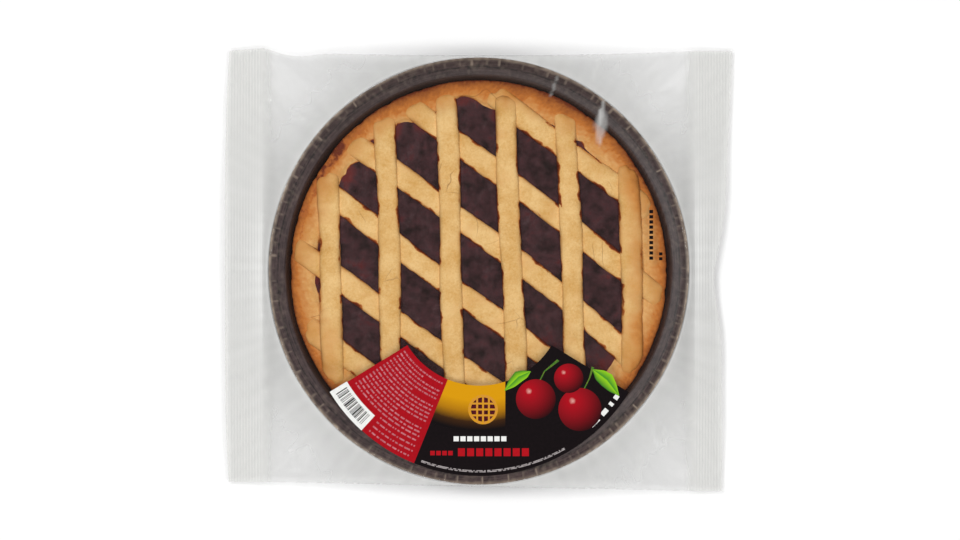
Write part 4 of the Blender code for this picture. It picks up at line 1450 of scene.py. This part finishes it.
def barcode(mat):
    """Bars of random widths, which encode nothing."""
    draw = random.Random(BARCODE_SEED)
    widths = [draw.choice((1, 1, 2, 3)) for _ in range(BARCODE_STRIPES)]
    field, across, up = every_other("barcode_bars", widths)
    start, end = BARCODE_ANGLES
    lay_round(field, mix(*BARCODE_RADII, up), mix(start, end, across), 2)
    dress(field, mat, "film")


def disc(name, mat, x, y, radius, layer):
    """A filled circle of ink, with tone running from its lit side to its far side."""
    deselect()
    bpy.ops.mesh.primitive_circle_add(vertices=40, radius=1, fill_type="TRIFAN")
    spot = bpy.context.object
    spot.name = spot.data.name = name
    edit(spot)
    bpy.ops.mesh.subdivide(number_cuts=5)
    leave_edit()
    points = places(spot)
    lit = np.hypot(points[:, 0] + 0.35, points[:, 1] - 0.4) / 1.5
    paint(spot, "tone", np.clip(lit, 0, 1))
    move_to(spot, points * radius + np.array([x, y, PRINT_Z + layer * INK]))
    dress(spot, mat, "film")


def ribbon(name, mat, path, widths, layer):
    """A stem, bar or leaf: a strip of cells laid along a path of plan points."""
    strip = flat_grid(name, 14, 4)
    points = places(strip)
    share = 0.5 + points[:, 0] / 2
    at = share * (len(path) - 1)
    xs = np.interp(at, range(len(path)), [p[0] for p in path])
    ys = np.interp(at, range(len(path)), [p[1] for p in path])
    way = np.array(path[-1]) - np.array(path[0])
    side = np.array([-way[1], way[0]]) / math.hypot(*way)
    half = np.interp(share, np.linspace(0, 1, len(widths)), widths)
    xs = xs + side[0] * half * points[:, 1]
    ys = ys + side[1] * half * points[:, 1]
    paint(strip, "tone", 0.5 + 0.5 * points[:, 1])
    move_to(strip, np.stack([xs, ys, 0 * xs], 1) * MM + np.array([0, 0, PRINT_Z + layer * INK]))
    dress(strip, mat, "film")


def label_fields(look):
    """The label's fields of colour: red, yellow running into black, and black."""
    red = ink("Red printing ink", [(0.3, look.red), (0.7, look.red_deep)])
    black = ink("Black printing ink", [(0.3, look.black), (0.7, look.black_soft)])
    stops = [(0.0, look.yellow), (0.34, look.yellow), (0.58, look.amber)]
    stops += [(0.80, look.umber), (0.97, look.black)]
    fade = ink("Yellow ink fading to black", stops, "tone")
    patch("label_red_field", red, LABEL_INNER, LABEL_OUTER, LABEL_FROM, LABEL_RED_TO, 0)
    low, high = LABEL_INNER, YELLOW_TO
    yellow = patch("label_yellow_field", fade, low, high, LABEL_RED_TO, label_join, 0, 20)
    points = places(yellow)
    radius = np.hypot(points[:, 0] - LABEL_CENTRE[0], points[:, 1] - LABEL_CENTRE[1])
    paint(yellow, "tone", (radius - low) / (high - low))
    patch("label_black_field", black, high, LABEL_OUTER, LABEL_RED_TO, label_join, 0, 8)
    patch("label_black_side", black, LABEL_INNER, LABEL_OUTER, label_join, LABEL_TO, 0, 16)


def label_print(look):
    """Rows of small print, a barcode, marks and bars, all of plain blocks."""
    white = ink("White printing ink", [(0.3, look.white), (0.7, look.white_deep)])
    pink = ink("Small print, white on red", [(0.3, look.small_print), (0.7, look.small_print_deep)])
    grey = ink("Small print, white on black", [(0.3, look.foot_print), (0.7, look.foot_print_deep)])
    red = ink("Red title ink", [(0.3, look.title_red), (0.7, look.red)])
    black = ink("Black marking ink", [(0.3, look.black), (0.7, look.black_soft)])
    start, end = LABEL_FROM + SMALL_GAP, LABEL_RED_TO - SMALL_GAP
    lines = [mix(52.2 * MM, 85.6 * MM, i / 14) for i in range(15)]
    small_print("label_small_print", pink, lines, SMALL_TALL, start, end, 1, 5)
    lines = [mix(88.4 * MM, 98.2 * MM, i / 3) for i in range(4)]
    small_print("label_small_print_low", pink, lines, SMALL_TALL, LOW_PRINT_FROM, end, 1, 6)
    name = "label_foot_print"
    small_print(name, grey, FOOT_RADII, FOOT_TALL, *FOOT_ANGLES, 1, 7, word=8, fade=0.0)
    patch("barcode_field", white, *BARCODE_FIELD_RADII, *BARCODE_FIELD_ANGLES, 1)
    barcode(black)
    inks = {"white": white, "red": red, "black": black}
    for name, tone, *row in WORD_BLOCKS:
        blocks(name, inks[tone], *row)
    for i, (towards, wide) in enumerate(WEIGHT_MARKS):
        a0, a1 = math.radians(towards - wide / 2), math.radians(towards + wide / 2)
        patch(f"weight_mark_{i + 1}", white, *WEIGHT_RADII, a0, a1, 1)


def label_fruit(look):
    """A sprig of three cherries and a plain lattice tart, as simple shapes."""
    stops = [(0.0, look.cherry_light), (0.13, look.red), (0.45, look.cherry), (1.0, look.cherry_dark)]
    cherry = ink("Cherry red ink", stops, "tone")
    stops = [(0.0, look.leaf_dark), (0.48, look.leaf_light), (0.56, look.leaf), (1.0, look.leaf_light)]
    leafy = ink("Leaf green ink", stops, "tone")
    stem = ink("Stem ink", [(0.3, look.stem), (0.7, look.leaf_dark)])
    crust = ink("Pastry-coloured ink", [(0.3, look.tart), (0.7, look.yellow)])
    filling = ink("Plum-coloured ink", [(0.3, look.plum), (0.7, look.cherry_dark)])
    for i, (x, y, size) in enumerate(CHERRIES):
        disc(f"cherry_mark_{i + 1}", cherry, x * MM, y * MM, size * MM, 2 + i)
    ribbon("cherry_stem_1", stem, [(34, -66), (38, -58), (46, -51.5)], [0.35, 0.35, 0.8], 1)
    ribbon("cherry_stem_2", stem, [(60, -70), (64, -62), (66, -55.5)], [0.35, 0.35, 0.8], 1)
    ribbon("leaf_mark_1", leafy, [(66, -57), (74, -63), (81, -72)], [0.3, 3.6, 4.4, 3.0, 0.2], 6)
    ribbon("leaf_mark_2", leafy, [(30, -58), (23, -61), (15, -69)], [0.2, 2.6, 3.4, 2.6, 0.2], 1)
    x, y = TART_MARK
    disc("tart_mark_edge", crust, x * MM, y * MM, 8.6 * MM, 1)
    disc("tart_mark_filling", filling, x * MM, y * MM, 7.0 * MM, 2)
    for i, off in enumerate((-3.4, 0.0, 3.4)):
        long = math.sqrt(7.2**2 - off**2)
        ends = [(x + off, y - long), (x + off, y + long)]
        ribbon(f"tart_mark_bar_{i + 1}", crust, ends, [0.55, 0.55], 3)
        ends = [(x - long, y + off), (x + long, y + off)]
        ribbon(f"tart_mark_cross_{i + 1}", crust, ends, [0.55, 0.55], 4)


def blocks(name, mat, corner, size, count, gap, upright):
    """A row of plain blocks in place of a word, each as wide as a letter would be."""
    widths = [1.0 if i % 2 == 0 else gap for i in range(2 * count - 1)]
    field, across, up = every_other(name, widths)
    if upright:
        across, up = 1 - up, across
    x, y = corner[0] + size[0] * across, corner[1] + size[1] * up
    move_to(field, np.stack([x, y, 0 * x], 1) * MM + np.array([0, 0, PRINT_Z + 2 * INK]))
    dress(field, mat, "film")


def make_stage(look):
    # White studio paper, calendered and matt: an even pale ground.
    deselect()
    bpy.ops.mesh.primitive_plane_add(size=6, location=(0, 0, 0))
    floor = bpy.context.object
    floor.name = "pale_floor"
    mat, tree, out = new_material("White studio paper")
    where = add(tree, "ShaderNodeTexCoord", output="Object")
    tooth = add(tree, "ShaderNodeTexNoise", {"Scale": 1 / (1.1 * MM)}, {"Vector": where})
    stops = [(0.0, look.paper_low), (1.0, look.paper_high)]
    colour = add(tree, "ShaderNodeValToRGB", links={"Fac": tooth}, stops=stops)
    shader = add(tree, "ShaderNodeBsdfPrincipled", {"Roughness": 0.9}, {"Base Color": colour})
    tree.links.new(shader, out.inputs["Surface"])
    floor.data.materials.append(mat)

    world = bpy.data.worlds.new("Soft room")
    bpy.context.scene.world = world
    world.use_nodes = True
    sky = world.node_tree.nodes["Background"]
    sky.inputs["Color"].default_value = (1, 1, 1, 1)
    sky.inputs["Strength"].default_value = look.room
    for name, towards, share in PANELS:
        lamp = bpy.data.lights.new(name, "AREA")
        lamp.shape = "RECTANGLE"
        lamp.size = lamp.size_y = look.panel_size
        lamp.energy = look.panel_watts * share
        panel = bpy.data.objects.new(name, lamp)
        turn, up = math.radians(towards), look.panel_rise
        way = Vector((math.cos(turn) * math.cos(up), math.sin(turn) * math.cos(up), math.sin(up)))
        panel.location = way * PANEL_AWAY
        panel.rotation_euler = (-panel.location).to_track_quat("-Z", "Y").to_euler()
        bpy.context.scene.collection.objects.link(panel)

    lens = bpy.data.cameras.new("Camera")
    camera = bpy.data.objects.new("Camera", lens)
    bpy.context.scene.collection.objects.link(camera)
    lens.sensor_width = 36.0
    lens.lens = lens.sensor_width * (look.camera_height - CASE_TOP) / (IMAGE_WIDTH * look.pixel)
    camera.location = (*(place * look.pixel for place in CAMERA_OFFSET), look.camera_height)
    bpy.context.scene.camera = camera
    bpy.context.scene.view_settings.view_transform = "Standard"


def colour(name, description, hex_colour):
    """A colour that the user may change, held as linear light."""
    return bpy.props.FloatVectorProperty(
        name=name,
        description=description,
        subtype="COLOR",
        size=4,
        min=0.0,
        max=1.0,
        default=linear(hex_colour),
    )


def length(name, description, default):
    """A length that the user may change, in metres."""
    return bpy.props.FloatProperty(
        name=name, description=description, default=default, min=0.0, precision=5, unit="LENGTH"
    )


class CaseLook(bpy.types.PropertyGroup):
    """Sizes and colours of the baking case."""

    board: length("Board thickness", "How thick the pressed board is", BOARD)
    pleat_pitch: length("Pleat pitch", "Distance from pleat to pleat round the lip", 7.4 * MM)
    dark: colour("Dark fibres", "The board where its fibres are dark", "261A1B")
    pale: colour("Pale fibres", "The board where its fibres are pale", "4E3D3C")
    # painted shade: the dark colour laid on the inner wall and the far part of the flange
    wall: colour("Inner wall", "The shaded wall inside the case", "2C1A12")
    # also the painted shade along the press crease and in the deepest pleats
    grease_and_crease_shade: colour("Grease", "Marks where butter soaked in", "1A1210")
    # also the colour of the painted highlight along the lip's edge
    rubbed: colour("Rubbed folds", "Folds rubbed down to the bare fibre", "AC9A88")


class PastryLook(bpy.types.PropertyGroup):
    """Sizes and colours of the crust and the lattice."""

    under_width: length("Under strips", "Width of the strips laid first, on the slant", 13.2 * MM)
    top_width: length("Top strips", "Width of the strips laid across them", 12.6 * MM)
    crumb: length("Crumb", "Size of the pastry's sandy crumb", 1.3 * MM)
    edge_pale: colour("Edge, pale", "Palest pastry of the edge", "EBC282")
    edge_golden: colour("Edge, golden", "Golden pastry of the edge", "D49C54")
    edge_tan: colour("Edge, tan", "Edge where it is well baked", "C2742F")
    edge_brown: colour("Edge, brown", "The edge's dark outer rim", "6E2F10")
    strip_pale: colour("Strip, pale", "Palest pastry of the lattice", "EDC687")
    strip_golden: colour("Strip, golden", "Golden pastry of the lattice", "D4A35B")
    strip_tan: colour("Strip, tan", "Lattice where it is well baked", "CC8842")
    strip_brown: colour("Strip, brown", "Browned flanks of the strips", "94501E")
    syrup: colour("Syrup", "Pastry dyed by a thin film of jam", "B2642A")
    soaked: colour("Soaked", "Pastry under jam that boiled over", "6C2C14")
    crack: colour("Cracks", "Inside of the hairline cracks", "7C4A20")


class JamLook(bpy.types.PropertyGroup):
    """Sizes and colours of the jam."""

    lump_size: length("Lumps", "Size of the fruit in the jam", 9.0 * MM)
    deep: colour("Deep", "Jam where it is deepest", "1E0D0C")
    body: colour("Body", "Most of the jam", "42272A")
    thin: colour("Thin", "Jam where it is thin, or stands against the pastry", "5E2322")


class FilmLook(bpy.types.PropertyGroup):
    """Sizes and colours of the flow-wrap film."""

    rib_pitch: length("Rib pitch", "Distance from rib to rib of the crimped seals", 1.7 * MM)
    rib_height: length("Rib height", "Height of the crimped ribs", 0.04 * MM)
    clear: colour("Clear film", "What one sheet of film lets through", "FAFAFA")
    crimped: colour("Crimped film", "What the crimped film lets through", "F9F9F8")
    # this milky colour also carries the painted light, shade, sheen and glints laid in the film's milk
    cloud: colour("Cloud", "Film where it is stretched and milky", "DEDEDC")
    crimped_cloud: colour("Crimped cloud", "Milky film where it is crimped", "ECECEA")


class LabelLook(bpy.types.PropertyGroup):
    """Colours of the print on the film."""

    red: colour("Red", "Red field", "A80A1A")
    red_deep: colour("Red, deep", "Red field, in the plate's cells", "9C0814")
    black: colour("Black", "Black field", "0E080A")
    black_soft: colour("Black, soft", "Black field, in the plate's cells", "130B0E")
    yellow: colour("Yellow", "Yellow field", "D29406")
    amber: colour("Amber", "Where the yellow starts to fade", "AC7408")
    umber: colour("Umber", "Where the yellow is nearly black", "38200C")
    white: colour("White", "White marks", "EDEDEA")
    white_deep: colour("White, deep", "White marks, in the plate's cells", "E2E2DF")
    small_print: colour("Small print", "Blocks of print on the red", "C67A82")
    small_print_deep: colour("Small print, deep", "The same, in the plate's cells", "A44E58")
    foot_print: colour("Foot print", "Blocks of print on the black", "B8B0B0")
    foot_print_deep: colour("Foot print, deep", "The same, in the plate's cells", "8C8484")
    title_red: colour("Title red", "Red blocks on the black", "B01018")
    cherry: colour("Cherry", "Middle of a cherry", "8C0C18")
    cherry_light: colour("Cherry, light", "Gleam on a cherry", "E8B4AA")
    cherry_dark: colour("Cherry, dark", "Far side of a cherry", "2E060A")
    leaf: colour("Leaf", "Leaf beside its midrib", "3E8A28")
    leaf_light: colour("Leaf, light", "Leaf in the light", "8CC81E")
    leaf_dark: colour("Leaf, dark", "Leaf in the shade", "2C6E24")
    stem: colour("Stem", "Cherry stems", "6E7A2C")
    tart: colour("Tart", "Pastry of the tart mark", "C98A3C")
    plum: colour("Plum", "Filling of the tart mark", "5A1220")


class StageLook(bpy.types.PropertyGroup):
    """The floor, the light and the camera."""

    paper_low: colour("Paper, low", "Floor paper between its fibres", "FAFAFA")
    paper_high: colour("Paper, high", "Floor paper on its fibres", "FEFEFE")
    room: bpy.props.FloatProperty(
        name="Room light", description="Strength of the soft white room", default=0.27, min=0.0
    )
    panel_watts: bpy.props.FloatProperty(
        name="Panel power", description="Power of a panel at full share", default=12.0, unit="POWER"
    )
    panel_size: length("Panel size", "Side of each square panel", 0.6)
    panel_rise: bpy.props.FloatProperty(
        name="Panel rise",
        description="Angle of the panels above the floor",
        default=math.radians(69),
        subtype="ANGLE",
    )
    camera_height: length("Camera height", "Height of the camera above the floor", 2.5)
    pixel: length("Pixel", "What one pixel of the photograph covers", 0.578 * MM)


class CROSTATA_OT_stage(bpy.types.Operator):
    """Lay the pale floor, hang the soft light and set the camera"""

    bl_idname = "crostata.stage"
    bl_label = "Stage, light and camera"

    def execute(self, context):
        make_stage(context.scene.crostata_stage)
        return {"FINISHED"}


class CROSTATA_OT_case(bpy.types.Operator):
    """Press the board baking case"""

    bl_idname = "crostata.case"
    bl_label = "Baking case"

    def execute(self, context):
        make_case(context.scene.crostata_case)
        return {"FINISHED"}


class CROSTATA_OT_crust(bpy.types.Operator):
    """Raise the baked pastry shell"""

    bl_idname = "crostata.crust"
    bl_label = "Pastry shell"

    def execute(self, context):
        make_crust(context.scene.crostata_pastry)
        return {"FINISHED"}


class CROSTATA_OT_jam(bpy.types.Operator):
    """Fill the shell with jam"""

    bl_idname = "crostata.jam"
    bl_label = "Jam"

    def execute(self, context):
        make_jam(context.scene.crostata_jam)
        return {"FINISHED"}


class CROSTATA_OT_lattice(bpy.types.Operator):
    """Lay the twelve strips of the lattice"""

    bl_idname = "crostata.lattice"
    bl_label = "Lattice"

    def execute(self, context):
        make_lattice(context.scene.crostata_pastry)
        return {"FINISHED"}


class CROSTATA_OT_film(bpy.types.Operator):
    """Wrap the tart in clear film, sealed at both ends"""

    bl_idname = "crostata.film"
    bl_label = "Flow-wrap film"

    def execute(self, context):
        make_film(context.scene.crostata_film)
        return {"FINISHED"}


class CROSTATA_OT_label_fields(bpy.types.Operator):
    """Print the label's fields of colour on the film"""

    bl_idname = "crostata.label_fields"
    bl_label = "Label fields"

    def execute(self, context):
        label_fields(context.scene.crostata_label)
        return {"FINISHED"}


class CROSTATA_OT_label_print(bpy.types.Operator):
    """Print the label's rows, bars and blocks"""

    bl_idname = "crostata.label_print"
    bl_label = "Label print"

    def execute(self, context):
        label_print(context.scene.crostata_label)
        return {"FINISHED"}


class CROSTATA_OT_label_fruit(bpy.types.Operator):
    """Print the cherries, the leaves and the tart mark"""

    bl_idname = "crostata.label_fruit"
    bl_label = "Label fruit"

    def execute(self, context):
        label_fruit(context.scene.crostata_label)
        return {"FINISHED"}


OPERATORS = (
    CROSTATA_OT_stage,
    CROSTATA_OT_case,
    CROSTATA_OT_crust,
    CROSTATA_OT_jam,
    CROSTATA_OT_lattice,
    CROSTATA_OT_film,
    CROSTATA_OT_label_fields,
    CROSTATA_OT_label_print,
    CROSTATA_OT_label_fruit,
)
LOOKS = (
    ("crostata_stage", StageLook),
    ("crostata_case", CaseLook),
    ("crostata_pastry", PastryLook),
    ("crostata_jam", JamLook),
    ("crostata_film", FilmLook),
    ("crostata_label", LabelLook),
)


class CROSTATA_PT_sidebar(bpy.types.Panel):
    """The crostata's pieces and their looks"""

    bl_idname = "CROSTATA_PT_sidebar"
    bl_label = "Crostata"
    bl_space_type = "VIEW_3D"
    bl_region_type = "UI"
    bl_category = "Crostata"

    def draw(self, context):
        steps = self.layout.column(align=True)
        for step in OPERATORS:
            steps.operator(step.bl_idname)
        for attribute, group in LOOKS:
            box = self.layout.box()
            box.label(text=group.__doc__)
            for name in group.__annotations__:
                box.prop(getattr(context.scene, attribute), name)


def register():
    for attribute, group in LOOKS:
        bpy.utils.register_class(group)
        setattr(bpy.types.Scene, attribute, bpy.props.PointerProperty(type=group))
    for step in (*OPERATORS, CROSTATA_PT_sidebar):
        bpy.utils.register_class(step)


def unregister():
    for step in (CROSTATA_PT_sidebar, *reversed(OPERATORS)):
        bpy.utils.unregister_class(step)
    for attribute, group in reversed(LOOKS):
        delattr(bpy.types.Scene, attribute)
        bpy.utils.unregister_class(group)


def main():
    register()
    bpy.ops.crostata.stage()
    bpy.ops.crostata.case()
    bpy.ops.crostata.crust()
    bpy.ops.crostata.jam()
    bpy.ops.crostata.lattice()
    bpy.ops.crostata.film()
    bpy.ops.crostata.label_fields()
    bpy.ops.crostata.label_print()
    bpy.ops.crostata.label_fruit()


if __name__ == "__main__":
    main()
